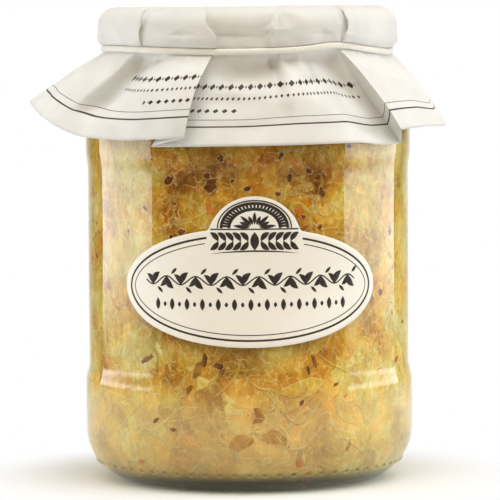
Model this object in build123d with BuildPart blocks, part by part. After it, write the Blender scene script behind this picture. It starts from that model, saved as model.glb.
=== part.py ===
# Sauerkraut jar: a filled twist-off jar whose cap wears a paper cover tied down with an elastic band.
# Millimetres, +Z up, origin on the jar's axis in the plane it stands on, front towards -Y.

import os
from math import asin, cos, degrees, exp, pi, radians, sin

from build123d import *

# ---- Driving dimensions ----

# Glass jar
jar_height = 142.8           # rim of the mouth
body_radius = 50.0           # contact bands, the widest part of the glass
panel_recess = 1.0           # the label panel lies this far inside the contact bands
heel_radius = 16.0           # curve from the side into the base
foot_width = 2.5             # flat ring that the jar stands on
punt_rise = 3.0              # the base is pushed up this far at its middle
lower_band_top = 30.5
upper_band_height = 7.2
upper_band_inset = 0.4       # the upper contact band is this much slimmer than the lower one
band_blend = 5.5             # height of the step from the lower contact band to the panel
upper_blend = 7.4            # height of the softer step from the panel to the upper band
shoulder_rise = 17.3
finish_height = 17.0         # neck and mouth, above the shoulder
neck_radius = 40.5
wall = 2.4                   # glass at the panel
neck_wall = 2.4
base_thickness = 4.6         # under the edge of the floor
middle_thickness = 4.0       # over the middle of the punt
inner_heel_radius = 13.0
bead_count = 66              # small glass beads round the heel
bead_height = 6.0
bead_radius = 1.0
bead_stand_out = 0.45

# Contents
headspace = 6.0              # from the rim down to the sauerkraut

# Twist-off cap
cap_sheet = 0.3
cap_clearance = 1.8          # between the mouth and the inside of the cap, room for its lugs
cap_depth = 9.9              # the cap's side reaches this far below the rim
cap_recess = 2.2             # the middle of the cap dips inside the mouth
cap_land = 1.4               # flat of the cap inside the mouth's edge, before it dips
cap_corner = 2.5             # rounding between the cap's top and its side
curl_radius = 0.7            # rolled bottom edge

# Paper cover
paper = 0.6                  # folded, creased paper in several layers
cover_gap = 2.4              # slack between the cap's side and the paper
cover_crown = 0.5            # air under the paper's top
cover_round = 5.5            # rounding of the top edge
tuck_height = 2.9            # the paper draws in over this height to reach the band
cinch_inset = 2.0            # the band pulls the paper this far inside the drum
skirt_length = 26.5          # down the slope, from the band to the hem
hem_clearance = 2.0          # between the widest glass and the skirt where it hangs closest
shoulder_swell = 2.2         # the skirt bows out over the shoulder
# Where the skirt stands out further: direction from the front in degrees (to the right is
# positive), extra slope in degrees, and half width in degrees.
flare_lobes = [
    (-92, 39, 24), (-58, -4, 8), (-32, 4, 12), (14, 3, 9), (44, 5, 9), (67, -4, 7), (92, 20, 18),
    (138, 12, 16), (178, 8, 12), (-148, 16, 18),
]
# Where the hem hangs lower: direction, extra length in mm, half width in degrees.
length_lobes = [(52, 2.6, 14), (-128, 1.5, 16)]
cover_columns = 96
round_steps = 3
skirt_steps = 7

# Elastic band
band_width = 1.9
band_thickness = 1.0

# Label
label_paper = 0.15
label_half_width = 41.2      # measured round the glass
label_half_height = 17.7
arch_half_width = 14.2       # the round top that rises from the oval
arch_rise = 9.2              # above the oval's top
arch_shift = 1.2             # the round top sits this far to the right of the oval's middle
label_rise = 1.55             # above the middle of the panel
label_turn = 0.8             # degrees to the right of the front
outline_steps = 48

# ---- Values worked out from them ----

panel_radius = body_radius - panel_recess
upper_radius = body_radius - upper_band_inset
shoulder_start = jar_height - finish_height - shoulder_rise
shoulder_top = shoulder_start + shoulder_rise
panel_bottom = lower_band_top + band_blend
panel_top = shoulder_start - upper_band_height - upper_blend
foot_radius = body_radius - heel_radius
inner_radius = panel_radius - wall
floor_middle = punt_rise + middle_thickness
mouth_radius = neck_radius - neck_wall
fill_height = jar_height - headspace

cap_radius = neck_radius + cap_clearance + cap_sheet
cap_top = jar_height + cap_sheet
cap_bottom = jar_height - cap_depth

cover_radius = cap_radius + cover_gap + paper
cover_top = cap_top + paper + cover_crown
cinch_radius = cover_radius - cinch_inset
tuck_bottom = cap_bottom - curl_radius
tuck_top = tuck_bottom + tuck_height
band_middle = tuck_bottom - band_width / 2
skirt_start = tuck_bottom - band_width
skirt_slope = degrees(asin((body_radius + hem_clearance - cinch_radius) / skirt_length))


# ---- Glass jar ----

# The inside of the glass from the middle of the domed floor up to a height in the neck.
def draw_inner_wall(top):
    side_foot = base_thickness + inner_heel_radius
    flat_edge = inner_radius - inner_heel_radius
    TangentArc((0, floor_middle), (flat_edge, base_thickness), tangent=(1, 0))
    CenterArc((flat_edge, side_foot), inner_heel_radius, -90, 90)
    Line((inner_radius, side_foot), (inner_radius, shoulder_start))
    Spline((inner_radius, shoulder_start), (mouth_radius, shoulder_top), tangents=[(0, 1), (0, 1)])
    Line((mouth_radius, shoulder_top), (mouth_radius, top))


# The outside, from the pushed-up middle of the base to the top of the neck.
def draw_outer_wall(top):
    TangentArc((0, punt_rise), (foot_radius - foot_width, 0), tangent=(1, 0))
    Line((foot_radius - foot_width, 0), (foot_radius, 0))
    CenterArc((foot_radius, heel_radius), heel_radius, -90, 90)
    Line((body_radius, heel_radius), (body_radius, lower_band_top))
    Spline((body_radius, lower_band_top), (panel_radius, panel_bottom), tangents=[(0, 1), (0, 1)])
    Line((panel_radius, panel_bottom), (panel_radius, panel_top))
    Spline((panel_radius, panel_top), (upper_radius, panel_top + upper_blend), tangents=[(0, 1), (0, 1)])
    Line((upper_radius, panel_top + upper_blend), (upper_radius, shoulder_start))
    Spline((upper_radius, shoulder_start), (neck_radius, shoulder_top), tangents=[(0, 1), (0, 1)])
    Line((neck_radius, shoulder_top), (neck_radius, top))


with BuildPart() as glass_jar:
    with BuildSketch(Plane.XZ) as jar_section:
        with BuildLine() as jar_outline:
            rim_round = neck_wall / 2
            draw_outer_wall(jar_height - rim_round)
            draw_inner_wall(jar_height - rim_round)
            CenterArc((mouth_radius + rim_round, jar_height - rim_round), rim_round, 0, 180)
            Line((0, punt_rise), (0, floor_middle))
        make_face()
    revolve(axis=Axis.Z)
    # Beads round the heel, each a ball sunk into the curve of the glass.
    heel_angle = asin((heel_radius - bead_height) / heel_radius)
    bead_ring = foot_radius + (heel_radius + bead_stand_out - bead_radius) * cos(heel_angle)
    bead_plane = heel_radius - (heel_radius + bead_stand_out - bead_radius) * sin(heel_angle)
    with Locations((0, 0, bead_plane)):
        with PolarLocations(bead_ring, bead_count):
            Sphere(bead_radius, rotation=(90, 0, 0))
glass_jar.part.label = "glass_jar"


# ---- Sauerkraut, packed against the glass ----

with BuildPart() as sauerkraut:
    with BuildSketch(Plane.XZ) as fill_section:
        with BuildLine() as fill_outline:
            draw_inner_wall(fill_height)
            Line((mouth_radius, fill_height), (0, fill_height))
            Line((0, fill_height), (0, floor_middle))
        make_face()
    revolve(axis=Axis.Z)
sauerkraut.part.label = "sauerkraut"


# ---- Twist-off cap ----

with BuildPart() as cap:
    with BuildSketch(Plane.XZ) as cap_section:
        land_edge = mouth_radius - cap_land
        panel_edge = land_edge - cap_recess
        inner_wall = cap_radius - cap_sheet
        with BuildLine() as cap_outline:
            Polyline(
                (0, cap_top - cap_recess),
                (panel_edge, cap_top - cap_recess),
                (land_edge, cap_top),
                (cap_radius, cap_top),
                (cap_radius, cap_bottom),
                (inner_wall, cap_bottom),
                (inner_wall, jar_height),
                (land_edge, jar_height),
                (panel_edge, jar_height - cap_recess),
                (0, jar_height - cap_recess),
                close=True,
            )
        make_face()
        outer_corner = cap_section.vertices().sort_by_distance((cap_radius, cap_top))[0]
        fillet(outer_corner, cap_corner)
        inner_corner = cap_section.vertices().sort_by_distance((inner_wall, jar_height))[0]
        fillet(inner_corner, cap_corner - cap_sheet)
        with Locations((cap_radius - cap_sheet / 2, cap_bottom)):
            Circle(curl_radius)
    revolve(axis=Axis.Z)
cap.part.label = "cap"


# ---- Paper cover: a drum over the cap and a flared skirt below the band ----

# 1 in one direction, fading smoothly to nothing on both sides of it.
def bump(angle, middle, half_width):
    apart = (angle - middle + 180) % 360 - 180
    return exp(-((apart / half_width) ** 2))


# How steeply the skirt stands out in a direction, and how long it is there.
def skirt_shape(angle):
    slope = skirt_slope + sum(extra * bump(angle, at, width) for at, extra, width in flare_lobes)
    length = skirt_length + sum(extra * bump(angle, at, width) for at, extra, width in length_lobes)
    return radians(slope), length


# Radius and height down the paper in one direction, a given depth inside its outer face.
def cover_profile(angle, depth):
    rows = []
    for step in range(round_steps + 1):
        turn = pi / 2 * step / round_steps
        radius = cover_radius - cover_round + (cover_round - depth) * sin(turn)
        rows.append((radius, cover_top - cover_round + (cover_round - depth) * cos(turn)))
    rows.append((cover_radius - depth, tuck_top))
    rows.append((cinch_radius - depth, tuck_bottom))
    slope, length = skirt_shape(angle)
    for step in range(skirt_steps + 1):
        share = step / skirt_steps
        swell = shoulder_swell * cos(slope) ** 2 * 4 * share * (1 - share) - depth
        radius = cinch_radius + length * share * sin(slope) + swell * cos(slope)
        rows.append((radius, skirt_start - length * share * cos(slope) + swell * sin(slope)))
    return rows


# The profile turned to every direction: a ring of columns of points.
def cover_grid(depth):
    grid = []
    for column in range(cover_columns):
        angle = 360 * column / cover_columns
        across, along = sin(radians(angle)), -cos(radians(angle))
        grid.append([Vector(r * across, r * along, z) for r, z in cover_profile(angle, depth)])
    return grid


def triangle(first, second, third):
    return Face(Wire.make_polygon([first, second, third], close=True))


# Two triangles between neighbouring points of two columns.
def quad(left, right, upper, lower):
    return [
        triangle(left[upper], left[lower], right[lower]),
        triangle(left[upper], right[lower], right[upper]),
    ]


outside = cover_grid(0)
inside = cover_grid(paper)
outer_middle = Vector(0, 0, cover_top)
inner_middle = Vector(0, 0, cover_top - paper)
facets = []
for column in range(cover_columns):
    following = (column + 1) % cover_columns
    for grid, middle in ((outside, outer_middle), (inside, inner_middle)):
        facets.append(triangle(middle, grid[column][0], grid[following][0]))
        for row in range(len(grid[column]) - 1):
            facets += quad(grid[column], grid[following], row, row + 1)
    facets += quad(
        (outside[column][-1], inside[column][-1]),
        (outside[following][-1], inside[following][-1]),
        0,
        1,
    )

with BuildPart() as paper_cover:
    add(Solid(Shell(facets)))
paper_cover.part.label = "paper_cover"


# ---- Elastic band ----

with BuildPart() as elastic_band:
    with BuildSketch(Plane.XZ) as band_section:
        with Locations((cinch_radius + band_thickness / 2, band_middle)):
            Ellipse(band_thickness / 2, band_width / 2)
    revolve(axis=Axis.Z)
elastic_band.part.label = "elastic_band"


# ---- Label: an oval with a round top, wrapped on the panel ----

# A point round the glass and up it, seen square from the front.
def on_panel(around, height):
    return (panel_radius * sin(around / panel_radius), height)


label_middle = (panel_bottom + panel_top) / 2 + label_rise - arch_rise / 2
oval = [
    on_panel(label_half_width * cos(2 * pi * k / outline_steps),
             label_middle + label_half_height * sin(2 * pi * k / outline_steps))
    for k in range(outline_steps)
]
arch_top = label_middle + label_half_height + arch_rise

with BuildPart() as label:
    with BuildSketch(Plane.XY.offset(label_middle - label_half_height)) as skin_ring:
        Circle(panel_radius + label_paper)
        Circle(panel_radius, mode=Mode.SUBTRACT)
    extrude(amount=2 * label_half_height + arch_rise)
    with BuildSketch(Plane.XZ.rotated((0, label_turn, 0))) as label_outline:
        with BuildLine() as oval_line:
            Spline(*oval, periodic=True)
        make_face()
        with Locations((arch_shift, arch_top - arch_half_width)):
            Circle(arch_half_width)
    extrude(amount=body_radius, mode=Mode.INTERSECT)
label.part.label = "label"


# ---- Files ----

os.makedirs("parts", exist_ok=True)
export_step(glass_jar.part, "parts/glass_jar.step")
export_step(sauerkraut.part, "parts/sauerkraut.step")
export_step(cap.part, "parts/cap.step")
export_step(paper_cover.part, "parts/paper_cover.step")
export_step(elastic_band.part, "parts/elastic_band.step")
export_step(label.part, "parts/label.step")
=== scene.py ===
import bpy
import numpy as np
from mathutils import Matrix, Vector


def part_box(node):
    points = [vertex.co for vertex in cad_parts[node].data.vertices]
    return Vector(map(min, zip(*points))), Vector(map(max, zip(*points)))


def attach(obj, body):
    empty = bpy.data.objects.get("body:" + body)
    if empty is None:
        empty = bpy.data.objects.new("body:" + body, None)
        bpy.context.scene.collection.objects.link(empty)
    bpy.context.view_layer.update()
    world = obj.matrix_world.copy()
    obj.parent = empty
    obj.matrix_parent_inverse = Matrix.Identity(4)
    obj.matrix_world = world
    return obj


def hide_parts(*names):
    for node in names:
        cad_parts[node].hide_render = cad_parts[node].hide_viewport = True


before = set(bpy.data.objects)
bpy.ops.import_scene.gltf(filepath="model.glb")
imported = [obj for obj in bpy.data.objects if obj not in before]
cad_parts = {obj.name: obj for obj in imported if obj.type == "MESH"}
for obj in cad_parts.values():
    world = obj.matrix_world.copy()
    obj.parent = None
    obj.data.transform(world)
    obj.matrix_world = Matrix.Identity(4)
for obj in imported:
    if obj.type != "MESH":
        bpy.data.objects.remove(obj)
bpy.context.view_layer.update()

mm = 0.001
turn = 2 * np.pi


# sRGB hex to linear: a channel below 0.04045 is divided by 12.92, the rest follows the 2.4 power curve.
def toLinear(hexColour):
    channels = np.array([int(hexColour[i:i + 2], 16) for i in (1, 3, 5)]) / 255
    linear = np.where(channels <= 0.04045, channels / 12.92, ((channels + 0.055) / 1.055) ** 2.4)
    return (*linear, 1.0)


# Adds one node and returns one of its outputs. Inputs are given as sockets to link, numbers, or hex
# colours, and further settings by name. A ramp is a list of (place, hex colour).
def addNode(tree, kind, inputs=None, output=0, ramp=(), **settings):
    node = tree.nodes.new("ShaderNode" + kind)
    for key, value in settings.items():
        setattr(node, key, value)
    for key, value in (inputs or {}).items():
        if isinstance(value, bpy.types.NodeSocket):
            tree.links.new(value, node.inputs[key])
        else:
            node.inputs[key].default_value = toLinear(value) if isinstance(value, str) else value
    while ramp and len(node.color_ramp.elements) < len(ramp):
        node.color_ramp.elements.new(0.5)
    for index, (place, colour) in enumerate(ramp):
        node.color_ramp.elements[index].position = place
        node.color_ramp.elements[index].color = toLinear(colour)
    return node.outputs[output] if node.outputs else node


# A new material and its tree, which starts empty.
def newMaterial(name):
    material = bpy.data.materials.new(name)
    material.use_nodes = True
    material.node_tree.nodes.clear()
    return material, material.node_tree


# Quads between neighbouring rows and columns of a grid of points numbered row by row.
def gridFaces(rows, columns, closed=False):
    row = np.arange(rows - 1)[:, None]
    column = np.arange(columns if closed else columns - 1)[None, :]
    following = (column + 1) % columns
    corners = [row * columns + column, row * columns + following,
               (row + 1) * columns + following, (row + 1) * columns + column]
    corners = [np.broadcast_to(corner, (rows - 1, column.size)) for corner in corners]
    return np.stack(corners, axis=-1).reshape(-1, 4)


# Puts new data into the scene as an object.
def addObject(name, data):
    holder = bpy.data.objects.new(name, data)
    bpy.context.scene.collection.objects.link(holder)
    return holder


# Builds one object from arrays of points, four-sided and three-sided faces, and point attributes.
def makePiece(name, points, quads, triangles=None, attributes=None):
    triangles = np.zeros((0, 3), int) if triangles is None else triangles
    mesh = bpy.data.meshes.new(name)
    mesh.vertices.add(len(points))
    mesh.vertices.foreach_set("co", np.asarray(points, np.float32).ravel())
    loops = np.concatenate([quads.ravel(), triangles.ravel()]).astype(np.int32)
    mesh.loops.add(len(loops))
    mesh.loops.foreach_set("vertex_index", loops)
    starts = np.concatenate([np.arange(len(quads)) * 4, len(quads) * 4 + np.arange(len(triangles)) * 3])
    mesh.polygons.add(len(starts))
    mesh.polygons.foreach_set("loop_start", starts.astype(np.int32))
    mesh.update(calc_edges=True)
    for key, values in (attributes or {}).items():
        layer = mesh.attributes.new(key, "FLOAT", "POINT")
        layer.data.foreach_set("value", np.asarray(values, np.float32).ravel())
    mesh.polygons.foreach_set("use_smooth", np.ones(len(starts), bool))
    mesh.validate()
    return addObject(name, mesh)


# Places round the jar's axis at a radius and a height. The angle runs from the front to the right.
def aroundAxis(radius, angle, height):
    across, along = radius * np.sin(angle), -radius * np.cos(angle)
    return np.stack(np.broadcast_arrays(across, along, height), axis=-1)


# A surface round the axis from a grid of points. Where a pole is given, a fan of triangles closes the
# first or the last row. Turned over, all its faces point the other way.
def makeRing(name, grid, firstPole=None, lastPole=None, turnedOver=False, attributes=None):
    rows, columns = grid.shape[:2]
    here = np.arange(columns)
    following = (here + 1) % columns
    points, fans = [grid.reshape(-1, 3)], []
    ends = (firstPole, 0, following, here), (lastPole, rows - 1, here, following)
    for pole, row, near, far in ends:
        if pole is not None:
            middle = np.full(columns, rows * columns + len(fans))
            fans.append(np.stack([middle, row * columns + near, row * columns + far], axis=1))
            points.append(np.array([pole], float))
    way = -1 if turnedOver else 1
    return makePiece(name, np.concatenate(points), gridFaces(rows, columns, closed=True)[:, ::way],
        np.concatenate(fans)[:, ::way], attributes)


# Gives a sheet its thickness, inwards from its face.
def thicken(piece, name, thickness):
    wall = piece.modifiers.new(name, "SOLIDIFY")
    wall.thickness = thickness
    wall.offset = -1


# Gives a piece its material and its body, and hides the node it stands for.
def finishPiece(piece, material, node=None):
    piece.data.materials.append(material)
    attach(piece, "root")
    if node:
        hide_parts(node)
    return piece


# Points on an arc: centre plus radius times the cosine and sine of evenly spaced angles, in degrees.
def arcPoints(centre, radius, start, end, steps):
    angle = np.radians(np.linspace(start, end, steps))
    return np.stack([centre[0] + radius * np.cos(angle), centre[1] + radius * np.sin(angle)], axis=1)


# An S from one point to another that leaves and arrives upright: the height is even, and the
# radius follows three times the square less twice the cube of the share.
def stepPoints(start, end, steps):
    share = np.linspace(0, 1, steps)
    ease = share ** 2 * (3 - 2 * share)
    across = start[0] + (end[0] - start[0]) * ease
    return np.stack([across, start[1] + (end[1] - start[1]) * share], axis=1)


# Distance travelled along a row of points, from nothing at the first.
def runningLength(points):
    return np.concatenate([[0], np.cumsum(np.linalg.norm(np.diff(points, axis=0), axis=1))])


# From 0 below low to 1 above high, three times the square less twice the cube of the share between.
def smoothStep(low, high, value):
    share = np.clip((value - low) / (high - low), 0, 1)
    return share ** 2 * (3 - 2 * share)


# A smooth bell that is 1 in one direction, given in degrees, and fades out to both sides of it.
def bell(angle, middle, halfWidth):
    apart = (angle - middle + 180) % 360 - 180
    return np.exp(-(apart / halfWidth) ** 2)


jarSizes = {
    "panelRecess": 1.0 * mm, "heelRadius": 16 * mm, "footWidth": 2.5 * mm, "puntRise": 3 * mm,
    "lowerBandTop": 30.5 * mm, "upperBand": 7.2 * mm, "blend": 5.5 * mm, "upperBlend": 7.4 * mm,
    "upperInset": 0.4 * mm, "shoulderRise": 17.3 * mm,
    "finish": 17 * mm, "neckRadius": 40.5 * mm, "wall": 2.4 * mm, "floorEdge": 4.6 * mm,
    "floorMiddle": 7 * mm, "innerHeel": 13 * mm, "beads": 66, "beadHeight": 6 * mm,
    "beadRadius": 0.95 * mm, "beadStandOut": 0.5 * mm, "columns": 594,
    # depth of the ripple, then for each wave its number round the jar, its reach up it and its start
    "ripple": 0.11 * mm, "waves": [(8, 9, 0), (13, -12, 2), (5, 6, 4)],
}
jarLow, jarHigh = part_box("glass_jar")
bodyRadius = (jarHigh[0] - jarLow[0]) / 2
jarHeight = jarHigh[2]
panelRadius = bodyRadius - jarSizes["panelRecess"]
upperRadius = bodyRadius - jarSizes["upperInset"]
shoulderStart = jarHeight - jarSizes["finish"] - jarSizes["shoulderRise"]
panelBottom = jarSizes["lowerBandTop"] + jarSizes["blend"]
panelTop = shoulderStart - jarSizes["upperBand"] - jarSizes["upperBlend"]
innerRadius = panelRadius - jarSizes["wall"]
mouthRadius = jarSizes["neckRadius"] - jarSizes["wall"]
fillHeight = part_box("sauerkraut")[1][2]


# Radius and height of the glass's outside, from the middle of the base to the neck.
def outerLine():
    s = jarSizes
    footRadius = bodyRadius - s["heelRadius"]
    footInner = footRadius - s["footWidth"]
    domeRadius = (footInner ** 2 + s["puntRise"] ** 2) / (2 * s["puntRise"])
    domeEdge = np.degrees(np.arcsin(footInner / domeRadius))
    top = jarHeight - s["wall"] / 2
    shoulderTop = jarHeight - s["finish"]
    return np.concatenate([
        arcPoints((0, s["puntRise"] - domeRadius), domeRadius, 90, 90 - domeEdge, 7),
        np.linspace((footInner + 0.4 * mm, 0), (footRadius, 0), 3),
        arcPoints((footRadius, s["heelRadius"]), s["heelRadius"], -90, 0, 60)[1:],
        np.linspace((bodyRadius, s["heelRadius"]), (bodyRadius, s["lowerBandTop"]), 5)[1:],
        stepPoints((bodyRadius, s["lowerBandTop"]), (panelRadius, panelBottom), 9)[1:],
        np.linspace((panelRadius, panelBottom), (panelRadius, panelTop), 7)[1:],
        stepPoints((panelRadius, panelTop), (upperRadius, panelTop + s["upperBlend"]), 10)[1:],
        np.linspace((upperRadius, panelTop + s["upperBlend"]), (upperRadius, shoulderStart), 4)[1:],
        stepPoints((upperRadius, shoulderStart), (s["neckRadius"], shoulderTop), 13)[1:],
        np.linspace((s["neckRadius"], shoulderTop), (s["neckRadius"], top), 4)[1:],
    ])


# Radius and height of the glass's inside, from the middle of the floor to a height in the neck.
def innerLine(top, fine=1):
    s = jarSizes
    flatEdge = innerRadius - s["innerHeel"]
    rise = s["floorMiddle"] - s["floorEdge"]
    domeRadius = (flatEdge ** 2 + rise ** 2) / (2 * rise)
    domeEdge = np.degrees(np.arcsin(flatEdge / domeRadius))
    sideFoot = s["floorEdge"] + s["innerHeel"]
    shoulderTop = jarHeight - s["finish"]
    return np.concatenate([
        arcPoints((0, s["floorMiddle"] - domeRadius), domeRadius, 90, 90 - domeEdge, 6 * fine),
        arcPoints((flatEdge, sideFoot), s["innerHeel"], -90, 0, 14 * fine)[1:],
        np.linspace((innerRadius, sideFoot), (innerRadius, shoulderStart), 10 * fine)[1:],
        stepPoints((innerRadius, shoulderStart), (mouthRadius, shoulderTop), 9 * fine)[1:],
        np.linspace((mouthRadius, shoulderTop), (mouthRadius, top), 4 * fine)[1:],
    ])


# Soda-lime glass, blown in a mould: clear, faintly green where it is thick, glossy and hard.
# Lamps pass straight through it, so that the contents are lit.
def sodaLimeGlass():
    material, tree = newMaterial("sodaLimeGlass")
    place = addNode(tree, "TexCoord", output="Object")
    height = addNode(tree, "SeparateXYZ", {"Vector": place}, output="Z")
    thick = addNode(tree, "MapRange", {"From Min": 9 * mm, "From Max": 1 * mm, "Value": height})
    tint = addNode(tree, "Mix", {0: thick, 6: "#FAFDF8", 7: "#BFCFA0"}, output=2, data_type="RGBA")
    glass = addNode(tree, "BsdfPrincipled",
        {"Roughness": 0.015, "IOR": 1.5, "Transmission Weight": 1.0, "Base Color": tint})
    clear = addNode(tree, "BsdfTransparent", {"Color": "#F1F6EE"})
    path = addNode(tree, "LightPath")
    mix = addNode(tree, "MixShader", {0: path.node.outputs["Is Shadow Ray"], 1: glass, 2: clear})
    addNode(tree, "OutputMaterial", {"Surface": mix})
    return material


# The outside and inside lines joined over the rim and turned round the axis. Each bead lifts the
# heel by its height times one less the squared distance from the bead's middle over its radius.
def makeJar():
    s = jarSizes
    halfWall = s["wall"] / 2
    rim = arcPoints((mouthRadius + halfWall, jarHeight - halfWall), halfWall, 0, 180, 9)[1:]
    inner = innerLine(jarHeight - halfWall)[::-1][1:]
    line = np.concatenate([outerLine()[1:], rim, inner[:-1]])
    angle = np.linspace(0, turn, s["columns"], endpoint=False)
    travel = runningLength(line)
    heel = np.arcsin((s["heelRadius"] - s["beadHeight"]) / s["heelRadius"])
    beadRing = bodyRadius - s["heelRadius"] * (1 - np.cos(heel))
    beadPlace = travel[np.argmin(np.hypot(line[:, 0] - beadRing, line[:, 1] - s["beadHeight"]))]
    spacing = turn / s["beads"]
    aside = ((angle + spacing / 2) % spacing - spacing / 2) * beadRing
    away = (travel[:, None] - beadPlace) ** 2 + aside[None, :] ** 2
    lift = s["beadStandOut"] * np.clip(1 - away / s["beadRadius"] ** 2, 0, None)
    lift[travel > beadPlace + 3 * mm] = 0
    # blown glass is never quite true: long low waves round and up the outside
    outside = (travel < travel[len(outerLine()) - 2]) & (line[:, 0] > bodyRadius - 6 * mm)
    up = line[:, 1:] / mm
    wave = sum(np.sin(turns * angle + up / reach + start) for turns, reach, start in s["waves"]) / 3
    ripple = s["ripple"] * (wave - 1) / 2 * outside[:, None] * smoothStep(4, 14, up)
    radius = line[:, :1] + lift * np.cos(heel) + ripple
    height = line[:, 1:] - lift * np.sin(heel)
    grid = aroundAxis(radius, angle, height)
    jar = makeRing("glass_jar_wall", grid, (0, 0, s["puntRise"]), (0, 0, s["floorMiddle"]))
    return finishPiece(jar, sodaLimeGlass(), "glass_jar")


makeJar()
print("glass done")


# What fills the glass. Its inside line is followed by the distance along it from the middle of the
# floor: the floor's edge is near 34 mm, the side starts at 54 mm and the shoulder at 145 mm.
fill = {
    "intoWall": 0.12 * mm,        # the core reaches this far into the glass, so no air gap shows
    "relief": 0.10 * mm,
    "lowest": 26 * mm, "highest": 158 * mm,
    "shredsBelow": 6 * mm, "shredsAbove": 4 * mm,      # shreds may run on this far past them
    "behind": -0.15 * mm,         # where the back of a scrap is closed
    "sharp": np.radians(55),      # edges sharper than this are drawn crisp
}
fillLine = innerLine(fillHeight, fine=6)
fillTravel = runningLength(fillLine)
fillSlope = np.gradient(fillLine, fillTravel, axis=0)
fillNormal = np.stack([fillSlope[:, 1], -fillSlope[:, 0]], axis=1)
fillNormal /= np.linalg.norm(fillNormal, axis=1, keepdims=True)


# A place on the inside of the glass: a distance round it at full radius, a distance along its
# line from the middle of the floor, and a lift outwards into the wall.
def ontoWall(around, along, lift):
    outward, upward = (np.interp(along, fillTravel, part) for part in fillNormal.T)
    radius, height = (np.interp(along, fillTravel, part) for part in fillLine.T)
    radius, height = radius + lift * outward, height + lift * upward
    return aroundAxis(radius, around / innerRadius, height)


# How light the cabbage is by place, and how much it is straw and not amber, all painted light and
# shade: darker and amber in front under the cover, in painted shade; lighter and yellower to the sides
# and behind, in painted side light through the shreds; a little lighter low down, in painted light from
# the floor, and low on the right.
def paintedLightTone(around, along):
    angle = np.degrees(around / innerRadius)
    aside = np.abs((angle + 180) % 360 - 180)
    height = np.interp(along, fillTravel, fillLine[:, 1]) / mm
    side = smoothStep(24, 46, aside) * (0.8 + 0.2 * np.cos(np.radians(3 * angle + 40)))
    top = smoothStep(70, 105, height) * (1 - 0.7 * side)
    far = smoothStep(58, 76, aside)
    right = smoothStep(15, 45, angle) * smoothStep(90, 60, angle) * smoothStep(60, 30, height)
    low = smoothStep(34, 20, height)
    return (0.2 * side - 0.08 * top + 0.15 * far + 0.07 * right + 0.05 * low,
        0.12 + 0.78 * side - 0.1 * top)
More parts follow.
